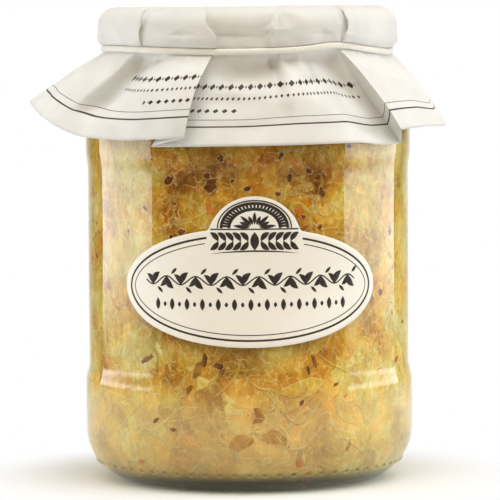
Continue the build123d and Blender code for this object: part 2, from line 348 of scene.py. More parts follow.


# Cooked fermented cabbage under brine: wet and part translucent, amber to straw yellow, with pale
# cut edges. The tone attribute picks the colour, with painted light and shade by place; clouds and
# cells mottle it; thin pale lines follow the edges of scraps, partly pale cut edges and partly painted
# glints; and it is painted lighter and milkier near the base, for light bounced up from the floor.
def cookedCabbage(name, edgeShare, cellShare=0.14):
    material, tree = newMaterial(name)
    place = addNode(tree, "TexCoord", output="Object")
    tone = addNode(tree, "Attribute", output="Fac", attribute_name="tone")
    edge = addNode(tree, "Attribute", output="Fac", attribute_name="edge")
    # everything wanders by up to 2 mm, so that no scrap is straight-sided
    wander = addNode(tree, "TexNoise", {"Scale": 1 / (4 * mm), "Detail": 3.0, "Vector": place},
        output="Color")
    wander = addNode(tree, "VectorMath", {0: wander, 1: (0.5, 0.5, 0.5)}, operation="SUBTRACT")
    warped = addNode(tree, "VectorMath", {0: wander, 1: (5 * mm, 5 * mm, 5 * mm), 2: place},
        operation="MULTIPLY_ADD")
    # scraps about 5 mm across, clouds 13 mm, mottle 2.2 mm and fibres 0.7 mm
    cells = addNode(tree, "TexVoronoi", {"Scale": 1 / (5 * mm), "Vector": warped}, output="Color")
    cell = addNode(tree, "SeparateColor", {0: cells})
    border = addNode(tree, "TexVoronoi", {"Scale": 1 / (5 * mm), "Vector": warped},
        feature="DISTANCE_TO_EDGE")
    clouds = addNode(tree, "TexNoise", {"Scale": 1 / (13 * mm), "Detail": 2.0, "Vector": place})
    mottle = addNode(tree, "TexNoise",
        {"Scale": 1 / (2.2 * mm), "Detail": 5.0, "Roughness": 0.65, "Distortion": 0.8, "Vector": place})
    fibres = addNode(tree, "TexNoise",
        {"Scale": 1 / (0.7 * mm), "Detail": 3.0, "Distortion": 1.5, "Vector": place})
    # shreds seen end to end: streaks 0.9 mm by 6 mm, whose direction follows the wander
    stretch = addNode(tree, "Mapping", {"Rotation": (0.4, 0.5, 0.3),
        "Scale": (1 / (0.9 * mm), 1 / (1.5 * mm), 1 / (6 * mm)), "Vector": warped})
    streaks = addNode(tree, "TexNoise", {"Scale": 1.0, "Detail": 2.0, "Vector": stretch})
    contour = addNode(tree, "TexNoise",
        {"Scale": 1 / (3.4 * mm), "Detail": 3.0, "Distortion": 1.0, "Vector": place})

    mixed = tone
    for pattern, weight in ((cell, cellShare), (clouds, 1.1), (mottle, 0.75), (streaks, 0.6)):
        mixed = addNode(tree, "Math", {0: pattern, 1: weight, 2: mixed}, operation="MULTIPLY_ADD")
    middle = -(cellShare + 1.1 + 0.75 + 0.6) / 2
    mixed = addNode(tree, "Math", {0: mixed, 1: middle}, operation="ADD", use_clamp=True)
    amber = addNode(tree, "ValToRGB", {"Fac": mixed}, ramp=amberColours)
    straw = addNode(tree, "ValToRGB", {"Fac": mixed}, ramp=strawColours)
    yellow = addNode(tree, "Attribute", output="Fac", attribute_name="straw")
    yellow = addNode(tree, "Math", {0: clouds, 1: 1.6, 2: yellow}, operation="MULTIPLY_ADD")
    yellow = addNode(tree, "Math", {0: yellow, 1: -0.8}, operation="ADD", use_clamp=True)
    ramp = addNode(tree, "Mix", {0: yellow, 6: amber, 7: straw}, output=2, data_type="RGBA")
    height = addNode(tree, "SeparateXYZ", {"Vector": place}, output="Z")
    # painted light: lighter and milkier near the base, standing in for light bounced up from the floor
    paintedFloorLight = addNode(tree, "MapRange",
        {"From Min": 36 * mm, "From Max": 22 * mm, "To Max": 0.5, "Value": height})
    withFloorLight = addNode(tree, "Mix", {0: paintedFloorLight, 6: ramp, 7: "#EBC67E"}, output=2, data_type="RGBA")
    # pale lines, partly pale cut edges and partly painted glints on wet shreds: the borders of cells
    # and one level of a cloud, both broken up by the mottle
    line = addNode(tree, "Math", {0: contour, 1: 0.5}, operation="SUBTRACT")
    line = addNode(tree, "Math", {0: line}, operation="ABSOLUTE")
    line = addNode(tree, "MapRange", {"From Min": 0.016, "From Max": 0.004, "Value": line})
    seam = addNode(tree, "MapRange", {"From Min": 0.05, "From Max": 0.012, "Value": border})
    line = addNode(tree, "Math", {0: line, 1: seam}, operation="MAXIMUM")
    broken = addNode(tree, "MapRange",
        {"From Min": 0.47, "From Max": 0.6, "To Max": 0.5, "Value": mottle})
    line = addNode(tree, "Math", {0: line, 1: broken}, operation="MULTIPLY")
    patchy = addNode(tree, "MapRange",
        {"From Min": 0.4, "From Max": 0.58, "To Min": 0.25, "To Max": edgeShare, "Value": contour})
    rim = addNode(tree, "Math", {0: edge, 1: patchy}, operation="MULTIPLY")
    rim = addNode(tree, "Math", {0: rim, 1: line}, operation="MAXIMUM")
    # the pale colour is partly the cut edge and partly a painted glint
    paleEdgesAndGlints = addNode(tree, "Mix", {0: rim, 6: withFloorLight, 7: "#F5DE9C"}, output=2, data_type="RGBA")
    # no light reaches the underside
    under = addNode(tree, "MapRange", {"From Min": 7.6 * mm, "From Max": 5.4 * mm, "Value": height})
    colour = addNode(tree, "Mix", {0: under, 6: paleEdgesAndGlints, 7: "#4A3A14"}, output=2, data_type="RGBA")
    rough = addNode(tree, "Bump", {"Strength": 0.5, "Distance": 0.5 * mm, "Height": mottle})
    bump = addNode(tree, "Bump",
        {"Strength": 0.25, "Distance": 0.25 * mm, "Height": fibres, "Normal": rough})
    skin = addNode(tree, "BsdfPrincipled", {"Roughness": 0.42, "IOR": 1.36, "Specular IOR Level": 0.12,
        "Subsurface Weight": 0.35, "Subsurface Radius": (1.0, 0.5, 0.12), "Subsurface Scale": 2.5 * mm,
        "Base Color": colour, "Normal": bump})
    addNode(tree, "OutputMaterial", {"Surface": skin})
    return material


amberColours = [(0.0, "#5F340D"), (0.2, "#90560F"), (0.4, "#BA7A1A"), (0.6, "#CF9328"),
    (0.8, "#DCA93A"), (1.0, "#E7C15A")]
strawColours = [(0.0, "#7A5414"), (0.2, "#A57C24"), (0.4, "#C19C3C"), (0.6, "#D8B852"),
    (0.8, "#E6CC70"), (1.0, "#F2E098")]


# The core: the inside line turned round the axis just inside the wall, with a small relief that is
# a product of sines round and along it.
def makeCore():
    line = innerLine(fillHeight, fine=3)[1:]
    travel = runningLength(line)[:, None]
    angle = np.linspace(0, turn, 240, endpoint=False)[None, :]
    around = angle * innerRadius + 0 * travel
    weave = np.sin(around / (2.1 * mm) + 3 * np.sin(travel / (7 * mm))) * np.sin(travel / (1.9 * mm))
    relief = fill["relief"] * weave
    slope = np.gradient(line, travel[:, 0], axis=0)
    slope /= np.linalg.norm(slope, axis=1, keepdims=True)
    lift = fill["intoWall"] + relief
    lift[-1] = 0
    radius = line[:, :1] + lift * slope[:, 1:]
    height = line[:, 1:] - lift * slope[:, :1]
    # tone and straw by place carry painted light and shade
    tone, straw = paintedLightTone(around, travel + 0 * around)
    tone = np.concatenate([0.48 + tone.ravel(), [0.4, 0.4]])
    straw = np.concatenate([straw.ravel(), [0.4, 0.4]])
    core = makeRing("sauerkraut_core", aroundAxis(radius, angle, height), (0, 0, fillLine[0, 1]),
        (0, 0, fillHeight), attributes={"tone": tone, "straw": straw, "edge": np.zeros(len(tone))})
    return finishPiece(core, cookedCabbage("brinedCabbageCore", 0.0, 0.2), "sauerkraut")


# Places for scraps: distance round and along, half length, narrowness, heading and tone shift.
def scatterPlaces(kind, draw):
    count = kind["count"]
    around = draw.uniform(-np.pi * innerRadius, np.pi * innerRadius, count)
    along = draw.uniform(fill["lowest"], fill["highest"], count)
    half = np.exp(draw.uniform(*np.log(kind["half"]), count)) * mm
    narrow = draw.uniform(*kind["narrow"], count)
    heading = draw.uniform(0, turn, count)
    return np.stack([around, along, half, narrow, heading, draw.normal(*kind["tone"], count)], axis=1)


# Places written in millimetres and degrees, made metres and radians.
def writtenPlaces(rows):
    return np.array(rows) * (mm, mm, mm, 1, np.pi / 180, 1)


# Joins all the bits of a kind into one piece. Its sharper edges are drawn crisp.
def joinBits(name, points, quads, triangles, attributes, material):
    piece = makePiece(name, points.reshape(-1, 3), quads, triangles, attributes)
    piece.data.set_sharp_from_angle(angle=fill["sharp"])
    return finishPiece(piece, material)


# Flat scraps pressed on the glass: an oval outline whose radius is 1 plus a few random waves, in
# rings from the middle to the rim, where it dips under its neighbours, closed behind by a fan.
def makeScraps(name, kind, material, seed, written=()):
    draw = np.random.default_rng(seed)
    places = scatterPlaces(kind, draw)
    if len(written):
        places = np.concatenate([places, writtenPlaces(written)])
    around, along, half, narrow, heading, shift = places.T
    count = len(places)
    spokes, rings = kind["spokes"], np.array(kind["rings"])
    drop = np.array(kind["drop"])
    offsets = np.array(kind.get("offsets", rings * 0)) * mm
    theta = np.linspace(0, turn, spokes, endpoint=False)
    order = np.arange(2, 7)[None, :, None]
    waves = draw.normal(0, kind["waves"], (count, 5, 1)) / order ** 0.5
    phases = draw.uniform(0, turn, (count, 5, 1))
    outline = 1 + (waves * np.cos(order * theta + phases)).sum(axis=1)
    reach = half[:, None, None] * outline[:, None, :] * rings[None, :, None] + offsets[None, :, None]
    across = reach * np.cos(theta)
    up = reach * np.sin(theta) * narrow[:, None, None]
    up = up + draw.normal(0, kind.get("bend", 0.0), (count, 1, 1)) * across ** 2 / half[:, None, None]
    c, s = np.cos(heading)[:, None, None], np.sin(heading)[:, None, None]
    base = draw.uniform(*kind["lift"], count) * mm
    drop = drop * kind.get("fall", 0.5) * mm
    lift = base[:, None, None] - drop[None, :, None] + 0 * across
    grid = ontoWall(around[:, None, None] + across * c - up * s,
        along[:, None, None] + across * s + up * c, lift)
    middle = ontoWall(around, along, base - drop[0])[:, None, :]
    behind = ontoWall(around, along, np.full(count, fill["behind"]))[:, None, :]
    size = len(rings) * spokes + 2
    points = np.concatenate([grid.reshape(count, -1, 3), middle, behind], axis=1)
    start = (np.arange(count) * size)[:, None, None]
    # a ring further out comes after in the numbering, so the rows are taken the other way round
    quads = (gridFaces(len(rings), spokes, closed=True)[None, :, ::-1] + start).reshape(-1, 4)
    here = np.arange(spokes)
    following = (here + 1) % spokes
    outer = (len(rings) - 1) * spokes
    front = np.stack([np.full(spokes, size - 2), here, following], axis=1)
    back = np.stack([np.full(spokes, size - 1), outer + following, outer + here], axis=1)
    triangles = (np.concatenate([front, back])[None] + start).reshape(-1, 3)
    # tone and straw by place carry painted light and shade
    tone, straw = paintedLightTone(around, along)
    tone = np.repeat(np.clip(shift + tone, 0.0, 1.0)[:, None], size, axis=1)
    straw = np.repeat((straw + 0.8 * (shift - kind["tone"][0]))[:, None], size, axis=1)
    edgeRow = np.concatenate([np.repeat(kind["edge"], spokes), [0, 1]])
    edge = np.broadcast_to(edgeRow, (count, size))
    attributes = {"tone": tone, "straw": straw, "edge": edge}
    return joinBits(name, points, quads, triangles, attributes, material)


# Long shreds pressed on the glass: each line turns with a random steady curve and a slow wave, and
# carries a low rounded section that narrows to its ends.
def makeShreds(name, kind, material, seed):
    draw = np.random.default_rng(seed)
    count, steps = kind["count"], kind["steps"]
    share = np.linspace(0, 1, steps)[None, :]
    length = draw.uniform(*kind["length"], (count, 1)) * mm
    heading = draw.normal(0, kind["scatter"], (count, 1))
    heading = heading + draw.normal(0, kind["curl"], (count, 1)) * share
    wave = draw.normal(0, kind["wave"], (count, 1))
    heading = heading + wave * np.sin(turn * share + draw.uniform(0, turn, (count, 1)))
    stride = length / (steps - 1)
    around = draw.uniform(-np.pi, np.pi, (count, 1)) * innerRadius
    around = around + np.cumsum(np.cos(heading) * stride, axis=1)
    along = draw.uniform(fill["lowest"], fill["highest"], (count, 1))
    along = along + np.cumsum(np.sin(heading) * stride, axis=1)
    along = np.clip(along, fill["lowest"] - fill["shredsBelow"], fill["highest"] + fill["shredsAbove"])
    half = draw.uniform(*kind["width"], (count, 1)) * mm / 2
    half = half * np.clip(np.sin(np.pi * (0.04 + 0.92 * share)) * 2.2, 0.1, 1)
    section, heights = np.array(kind["section"]), np.array(kind["heights"])
    base = draw.uniform(*kind["lift"], (count, 1, 1)) * mm
    acrossWay = section[None, None, :] * half[..., None]
    lift = base - kind["fall"] * mm * (1 - heights[None, None, :])
    lift = lift * np.ones((count, steps, 1))
    points = ontoWall(around[..., None] - np.sin(heading)[..., None] * acrossWay,
        along[..., None] + np.cos(heading)[..., None] * acrossWay, lift)
    wide = len(section)
    size = steps * wide
    start = (np.arange(count) * size)[:, None, None]
    ribbon = gridFaces(steps, wide)[:, ::-1]
    step = np.arange(steps - 1)
    under = np.stack([step * wide, (step + 1) * wide, (step + 1) * wide + wide - 1,
        step * wide + wide - 1], axis=1)[:, ::-1]
    quads = (np.concatenate([ribbon, under])[None] + start).reshape(-1, 4)
    ends = np.stack([np.zeros(wide - 2, int), np.arange(1, wide - 1), np.arange(2, wide)], axis=1)
    triangles = (np.concatenate([ends, (ends + size - wide)[:, ::-1]])[None] + start).reshape(-1, 3)
    # tone and straw by place carry painted light and shade
    tone, straw = paintedLightTone(around, along)
    tone = tone + draw.normal(*kind["tone"], (count, 1))
    tone = np.clip(tone, 0.0, 1.0)[..., None] * np.ones((1, 1, wide))
    straw = (straw + draw.normal(0.1, 0.12, (count, 1)))[..., None] * np.ones((1, 1, wide))
    edge = np.broadcast_to(np.array(kind["edge"]), (count, steps, wide))
    attributes = {"tone": tone, "straw": straw, "edge": edge}
    return joinBits(name, points, quads, triangles, attributes, material)


leafKind = {
    "count": 1000, "spokes": 16, "rings": [0.5, 0.95, 1.0, 1.0], "offsets": [0, 0, 0.08, 0.36],
    "drop": [0, 0.0, 0.12, 1], "edge": [0, 0.0, 0.9, 1], "half": (1.2, 7.5), "narrow": (0.28, 0.85),
    "waves": 0.13, "bend": 0.22, "lift": (0.15, 0.28), "fall": 0.13, "tone": (0.50, 0.04),
}
shredKind = {"count": 430, "steps": 13, "length": (5, 19), "scatter": 1.1, "curl": 0.8, "wave": 0.5,
    "width": (0.5, 1.5), "section": [-1, -0.72, 0, 0.72, 1], "heights": [0, 0.9, 1, 0.9, 0],
    "edge": [1, 0.4, 0, 0.4, 1], "lift": (0.24, 0.34), "fall": 0.12, "tone": (0.54, 0.07)}
fibreKind = {"count": 950, "steps": 9, "length": (1.5, 6.5), "scatter": 1.6, "curl": 1.8, "wave": 0.8,
    "width": (0.14, 0.34), "section": [-1.3, 0, 1.3], "heights": [0.3, 1, 0.3], "edge": [0.5, 0.8, 0.5],
    "lift": (0.3, 0.37), "fall": 0.06, "tone": (0.68, 0.1)}
# the larger yellow leaves low in front
leafPlaces = [
    (-9.5, 65.6, 8.2, 0.36, -36, 0.86), (14, 66.5, 8.0, 0.42, 24, 0.72), (-3, 56, 6.5, 0.40, -20, 0.70),
    (22, 84, 6.0, 0.5, 50, 0.74), (-30, 80, 7.0, 0.45, 70, 0.80),
]
makeCore()
makeScraps("cabbage_leaves", leafKind, cookedCabbage("brinedCabbageLeaf", 0.6), 11, leafPlaces)
makeShreds("cabbage_shreds", shredKind, cookedCabbage("brinedCabbageShred", 0.6), 12)
makeShreds("cabbage_fibres", fibreKind, cookedCabbage("cabbageFibre", 0.7), 13)
print("cabbage done")


# Chopped bits and brine: noise and the tone pick a colour on the ramp, and the edge attribute
# draws a pale thread round the edge, a painted highlight where the brine meets the glass.
def wetBits(name, stops, grainSize, rimHighlightShare=0.0):
    material, tree = newMaterial(name)
    place = addNode(tree, "TexCoord", output="Object")
    grain = addNode(tree, "TexNoise",
        {"Scale": 1 / grainSize, "Detail": 4.0, "Distortion": 0.8, "Vector": place})
    tone = addNode(tree, "Attribute", output="Fac", attribute_name="tone")
    edge = addNode(tree, "Attribute", output="Fac", attribute_name="edge")
    mixed = addNode(tree, "Mix", {0: 0.4, 2: grain, 3: tone})
    colour = addNode(tree, "ValToRGB", {"Fac": mixed}, ramp=stops)
    patchy = addNode(tree, "MapRange", {"From Min": 0.38, "From Max": 0.55, "To Min": 0.2 * rimHighlightShare,
        "To Max": rimHighlightShare, "Value": grain})
    rim = addNode(tree, "Math", {0: edge, 1: patchy}, operation="MULTIPLY")
    # painted highlight: a pale rim where the brine meets the glass
    rimHighlighted = addNode(tree, "Mix", {0: rim, 6: colour, 7: "#ECCB82"}, output=2, data_type="RGBA")
    bump = addNode(tree, "Bump", {"Strength": 0.3, "Distance": 0.2 * mm, "Height": grain})
    skin = addNode(tree, "BsdfPrincipled", {"Roughness": 0.4, "IOR": 1.36, "Specular IOR Level": 0.15,
        "Base Color": rimHighlighted, "Normal": bump})
    addNode(tree, "OutputMaterial", {"Surface": skin})
    return material


# Pockets of brine between the shreds, with a painted pale highlight running round each. Windows are
# wide shallow ones in the clear brine's colour; pockets are small and deep, and their dark brown is
# painted shade, standing in for the dim depth of brine seen down the gaps.
pocketRings = {
    "spokes": 22, "rings": [0.6, 0.92, 1.0, 1.0, 1.0, 1.0], "offsets": [0, 0, 0, 0.05, 0.19, 0.30],
    "drop": [0.06, 0.06, 0.05, 0.0, 0.0, 1.0], "edge": [0, 0, 0.15, 1, 1, 0.5],
}
windowKind = pocketRings | {"count": 16, "half": (0.9, 2.4), "narrow": (0.35, 0.9), "waves": 0.17,
    "bend": 0.2, "lift": (0.33, 0.36), "tone": (0.5, 0.08)}
pocketKind = pocketRings | {"count": 24, "half": (0.4, 1.1), "narrow": (0.55, 1.0), "waves": 0.12,
    "lift": (0.37, 0.41), "tone": (0.45, 0.1)}
windowPlaces = [(-2.5, 52.5, 3.6, 0.6, 20, 0.5), (7.5, 54.0, 4.2, 0.45, -15, 0.5),
    (-15, 74, 2.6, 0.5, 70, 0.35), (3.0, 60.5, 2.2, 0.7, 80, 0.35)]
pocketPlaces = [(-7.8, 136.4, 1.0, 0.9, 0, 0.5), (-23.9, 129.7, 1.5, 0.8, 40, 0.45),
    (-10.8, 128.4, 2.0, 0.9, 30, 0.5), (-4.4, 129.8, 0.6, 0.8, 0, 0.5), (9.6, 137.1, 0.9, 0.7, 60, 0.4),
    (12.1, 130.6, 1.3, 0.6, 80, 0.4), (8.7, 125.8, 0.8, 0.8, 0, 0.5), (22, 126, 1.5, 0.6, 110, 0.5),
    (-19.8, 114.6, 1.2, 0.7, 20, 0.6), (-0.2, 127.4, 1.0, 0.7, 0, 0.3),
    (18, 132.4, 1.1, 0.6, 130, 0.35), (-8.4, 75.0, 1.1, 0.8, 30, 0.4), (17.5, 73.5, 1.3, 0.4, 100, 0.5),
    (15.3, 64.0, 1.0, 0.6, 60, 0.5)]
makeScraps("brine_windows", windowKind,
    wetBits("clearBrine", [(0.35, "#8E5E1E"), (0.5, "#AE8034"), (0.65, "#C49C54")], 3 * mm, 0.75), 21,
    windowPlaces)
# painted shade: the deep pockets are dark brown for the dim brine down in the gaps
makeScraps("brine_pockets", pocketKind,
    wetBits("darkBrineInShade", [(0.35, "#4A2808"), (0.5, "#6E3F12"), (0.65, "#8F5A1E")], 1.2 * mm, 1.0), 22,
    pocketPlaces)

bitRings = {"spokes": 14, "rings": [0.5, 0.88, 1.0], "drop": [0, 0.12, 1], "edge": [0, 0, 0]}
mushroomKind = bitRings | {"count": 22, "half": (0.4, 1.5), "narrow": (0.3, 0.75), "waves": 0.2,
    "lift": (0.36, 0.42), "tone": (0.5, 0.15)}
mushroomPlaces = [
    (-13, 76.8, 2.3, 0.35, 85, 0.4), (-9.1, 75.4, 1.3, 0.7, 20, 0.5), (-7.8, 73.6, 1.2, 0.8, 60, 0.5),
    (-32, 76.5, 2.6, 0.35, 30, 0.6), (-17.7, 68, 1.6, 0.5, 60, 0.6), (-28.7, 58.4, 1.3, 0.5, 40, 0.6),
    (-22.7, 56, 1.2, 0.5, 0, 0.6), (21.5, 115.8, 1.1, 0.5, 60, 0.4), (19.5, 76, 2.0, 0.35, 110, 0.6),
]
carrotKind = bitRings | {"count": 26, "half": (0.7, 1.9), "narrow": (0.4, 0.8), "waves": 0.12,
    "lift": (0.34, 0.4), "tone": (0.5, 0.2)}
carrotPlaces = [(13.6, 135, 1.3, 0.6, 40, 0.5), (-11.1, 121.2, 1.6, 0.7, 120, 0.5),
    (15.2, 46, 1.6, 0.6, -45, 0.5)]
pepperKind = {
    "count": 210, "spokes": 8, "rings": [0.6, 1.0], "drop": [0.1, 1], "edge": [0, 0],
    "half": (0.12, 0.30), "narrow": (0.7, 1.0), "waves": 0.10, "lift": (0.44, 0.50), "tone": (0.5, 0.2),
}
makeScraps("mushroom_bits", mushroomKind,
    wetBits("cookedMushroom", [(0.35, "#5E3410"), (0.5, "#7E4E1C"), (0.65, "#966628")], 1.5 * mm), 31,
    mushroomPlaces)
makeScraps("carrot_bits", carrotKind,
    wetBits("cookedCarrot", [(0.35, "#C4692A"), (0.5, "#CF7C34"), (0.65, "#D68E40")], 2 * mm), 32,
    carrotPlaces)
makeScraps("pepper_specks", pepperKind,
    wetBits("groundPepper", [(0.3, "#24150A"), (0.7, "#4A2E14")], 0.5 * mm), 33)
# pale specks: partly bubbles in the brine and partly painted glints of light on wet shreds
bubbleAndGlintKind = pepperKind | {"count": 260, "spokes": 10, "half": (0.10, 0.34), "narrow": (0.5, 1.0)}
makeScraps("brine_bubbles_and_glints", bubbleAndGlintKind,
    wetBits("brineBubblesAndGlints", [(0.3, "#EBD9A0"), (0.7, "#F7EDC8")], 0.5 * mm), 34)
print("bits done")


cover = {"radius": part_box("cap")[1][0] + 2.4 * mm, "top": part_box("paper_cover")[1][2],
    "round": 5.5 * mm, "cinch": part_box("elastic_band")[1][0] - 1.0 * mm, "bandWidth": 1.9 * mm,
    "bandLow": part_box("elastic_band")[0][2], "tuck": 2.9 * mm, "swell": 2.0 * mm, "columns": 820,
    "discRows": 6, "roundRows": 6, "sideRows": 12, "tuckRows": 5, "skirtRows": 28,
    "thickness": 0.12 * mm, "clear": 0.35 * mm, "edge": 0.3, "lap": 2.3, "lapReach": 0.75,
    "crumple": 0.16 * mm, "flatSize": 0.172}
# Lines from the band to the hem, round the jar: direction at the band and at the hem in degrees
# from the front, slope from upright in degrees, length, how far it stands out at the hem and how
# far it bows out half-way down in millimetres, and how sharp a crease it is. Where the hem's
# direction goes back, the paper is folded over itself.
coverLines = np.array([
    (-171, -171, 30, 26.4, 0.0, 0.0, 0.3),
    (-160, -156, 21, 27.0, 0.4, -1.0, 0.9),
    (-157, -163, 20, 27.2, -0.8, -1.5, 0.9),
    (-140, -142, 36, 26.8, 0.0, 1.0, 0.2),
    (-121, -121, 23, 26.6, 0.0, -1.5, 0.3),
    (-104, -107, 42, 26.6, 0.0, 0.0, 0.3),
    (-84, -90, 57.5, 27.2, 0.0, 0.0, 0.6),
    (-66, -77, 46, 27.4, 0.0, 0.6, 0.2),
    (-49, -62, 28, 27.8, 0.0, 0.0, 0.2),
    (-32, -42, 24, 27.6, 0.2, 0.4, 0.1),
    (-13.6, -19, 25, 26.6, 1.6, 1.2, 1.0),
    (-13.0, -33, 18.5, 28.4, -0.2, -1.5, 1.0),
    (4, -4, 19.5, 28.2, 0.0, -3.2, 0.1),
    (20, 18, 21, 28.4, 0.0, 0.0, 0.2),
    (28, 36, 22, 28.6, 0.0, -0.4, 0.1),
    (35.5, 50, 18, 29.2, 0.2, -3.4, 0.2),
    (38.0, 57.5, 20, 29.4, 0.4, -2.5, 0.9),
    (38.5, 52, 28, 26.4, 1.6, -0.8, 1.0),
    (54, 66, 32, 26.2, 0.8, 0.2, 0.2),
    (70, 80, 37, 27.6, 0.6, -0.6, 0.8),
    (86, 91, 38.5, 26.6, 0.0, 0.0, 0.6),
    (106, 104, 26, 26.4, 0.0, -1.0, 0.2),
    (122, 121, 21, 26.2, 1.2, 0.6, 0.9),
    (125, 112, 19, 27.4, -0.8, -1.5, 0.9),
    (143, 142, 34, 26.8, 0.0, 0.6, 0.2),
    (162, 161, 22, 26.6, 0.0, -1.2, 0.2),
])
# Folds of the drum: direction at the top edge and at the band in degrees, the height of the step in
# millimetres, the side that lies on top (-1 left, 1 right) and its reach in degrees. The next two
# say how far the flat to the right of the fold leans in, at its top and at its foot, and the last
# whether the layers overlap.
drumFolds = np.array([
    (-160, -158, 0.9, -1, 20, 0.4, 0.6, 1), (-128, -124, 0.6, 1, 18, 0.9, 0.2, 1),
    (-93, -90, 0.5, -1, 20, 0.3, 0.1, 0), (-44.8, -44.3, 0.9, -1, 14, 1.1, 0.2, 1),
    (-17.0, -12, 0.8, -1, 14, 0.0, 1.9, 1), (14.5, 7.8, 1.0, 1, 6, 0.7, 0.8, 0),
    (41.5, 39.3, 1.1, 1, 16, 0.6, 0.3, 1), (96, 92, 0.7, -1, 22, 1.0, 0.2, 1),
    (124, 124, 0.9, 1, 24, 0.1, 1.2, 1), (163, 160, 0.6, -1, 18, 0.8, 0.3, 1),
])
# Creases of the skirt: from direction and share of the way down to another, the width in degrees
# of the hollow beside it (to its left where negative) and the hollow's depth in millimetres.
skirtCreases = [(-49.5, 0.0, -69, 0.86, 5.0, 5.4), (38.2, 0.0, 51, 1.0, -7.0, 3.0),
    (12, 0.0, 15, 0.55, -3.0, 1.5), (12.5, 0.02, 24, 0.62, 2.6, 1.2), (20, 0.0, 25, 0.42, 2.0, 0.9),
    (24, 0.35, 33, 0.8, 3.0, 0.8), (-22, 0.0, -25, 0.32, 1.8, 0.6), (-41, 0.0, -34, 0.45, 2.6, 0.7),
    (-4, 0.1, 9, 0.0, 3.0, 0.8), (50, 0.0, 53, 0.28, 2.2, 1.1), (44, 0.0, 46, 0.16, 1.2, 0.8),
    (7.5, 0.0, 11.5, 0.34, 1.6, 1.6), (63, 0.0, 66, 0.5, 3.0, 0.6), (-72, 0.0, -80, 0.5, 3.0, 0.7),
    (-104, 0.0, -112, 0.8, 4.5, 1.3), (-118, 0.0, -116, 0.6, 3.0, 0.9), (112, 0.0, 118, 0.7, 3.5, 1.2),
    (176, 0.0, 172, 0.8, 4.5, 1.3), (-148, 0.0, -150, 0.7, 3.5, 1.0), (150, 0.0, 156, 0.6, -3.5, 1.1),
    (-178, 0.0, -178, 0.5, 3.0, 0.8), (98, 0.1, 92, 0.7, 3.0, 0.8)]


# Dents, where three creases meet: direction and place down in shares, their half sizes, and the
# depth in millimetres, on the drum and on the skirt.
drumDents = [(16, 0.4, 6, 0.36, -1.1), (10, 0.74, 5, 0.26, 0.7), (24, 0.2, 6, 0.22, -0.5),
    (-25, 0.9, 6, 0.2, -0.7), (-5, 0.93, 8, 0.16, -0.8), (30, 0.9, 6, 0.2, -0.8),
    (60, 0.55, 10, 0.4, -0.6), (-60, 0.6, 9, 0.4, -0.6), (-35, 0.35, 9, 0.3, 0.4),
    (2, 0.3, 9, 0.3, -0.4), (76, 0.3, 8, 0.3, 0.5), (112, 0.8, 9, 0.3, -0.8), (150, 0.5, 10, 0.4, -0.7),
    (-110, 0.7, 9, 0.3, -0.7), (-145, 0.4, 10, 0.4, 0.5), (178, 0.85, 8, 0.2, -0.8)]
skirtDents = [(25, 0.34, 5, 0.22, -1.3), (15, 0.52, 4.5, 0.24, 1.0), (-25, 0.12, 3, 0.12, -0.9),
    (47, 0.12, 4, 0.14, -0.9), (-34, 0.5, 7, 0.34, 0.7), (-8, 0.5, 7, 0.3, -0.7),
    (64, 0.4, 8, 0.3, 0.8), (30, 0.75, 7, 0.2, 0.6), (3, 0.8, 8, 0.2, -0.5), (-82, 0.6, 7, 0.3, -0.7),
    (92, 0.5, 8, 0.3, -0.8), (130, 0.4, 9, 0.3, 0.8), (168, 0.6, 9, 0.3, -0.8),
    (-130, 0.5, 9, 0.3, 0.8)]


# Each dent is a four-sided pyramid: its depth times 1 less the shares of its half sizes covered.
def dents(table, angle, down):
    total = 0.0
    for at, downAt, wide, tall, deep in table:
        apart = np.abs((angle - at + 180) % 360 - 180) / wide
        total = total + deep * mm * np.clip(1 - apart - np.abs(down - downAt) / tall, 0, None)
    return total


# Height of the band above its level place: it rides up and down a little round the jar.
def bandRide(angle):
    return (1.3 * bell(angle, 37, 13) - 0.9 * bell(angle, 74, 16) + 0.5 * bell(angle, -66, 24)
            - 0.4 * bell(angle, -8, 20) + 0.6 * bell(angle, 150, 30) - 0.5 * bell(angle, -135, 25)) * mm


# Values given at rising places round a ring, drawn two ways: straight from one to the next, and as
# a smooth curve that never overshoots, since its slope at each place is the harmonic mean of the
# two spans beside it, or none at a peak. The share of the straight way is given for each place.
def ringCurve(places, values, sharp, query, wrap=0.0):
    def around(row, shift):
        return np.concatenate([row[-2:] - shift, row, row[:2] + shift])

    spot, value, crisp = around(places, 1.0), around(values, wrap), around(sharp, 0.0)
    span = np.diff(spot)
    rise = np.diff(value) / span
    before, after = rise[:-1], rise[1:]
    same = before * after > 0
    slope = np.zeros(len(spot))
    slope[1:-1][same] = 2 * before[same] * after[same] / (before[same] + after[same])
    index = np.clip(np.searchsorted(spot, query, side="right") - 1, 0, len(span) - 1)
    h = span[index]
    t = (query - spot[index]) / h
    smooth = (value[index] * (1 + 2 * t) * (1 - t) ** 2 + value[index + 1] * t ** 2 * (3 - 2 * t)
              + h * slope[index] * t * (1 - t) ** 2 - h * slope[index + 1] * t ** 2 * (1 - t))
    straight = value[index] + rise[index] * h * t
    share = crisp[index] * (1 - t) + crisp[index + 1] * t
    return smooth + (straight - smooth) * share


# Radius of the glass's outside at a height, for what drapes over it.
def glassRadius(height):
    line = outerLine()
    heel = int(np.argmax(line[:, 1] > jarSizes["heelRadius"] * 0.5))
    return np.interp(height, line[heel:, 1], line[heel:, 0])


# Stiff paper never lies quite flat: zigzag waves in several directions, whose corners meet in
# random flats a centimetre or two across. Each wave has a direction, a length and a start.
crumpleWaves = [(0.5, 31, 0.2), (1.3, 23, 0.6), (2.2, 27, 0.1), (2.9, 19, 0.8), (0.1, 41, 0.4),
    (1.8, 15, 0.3)]


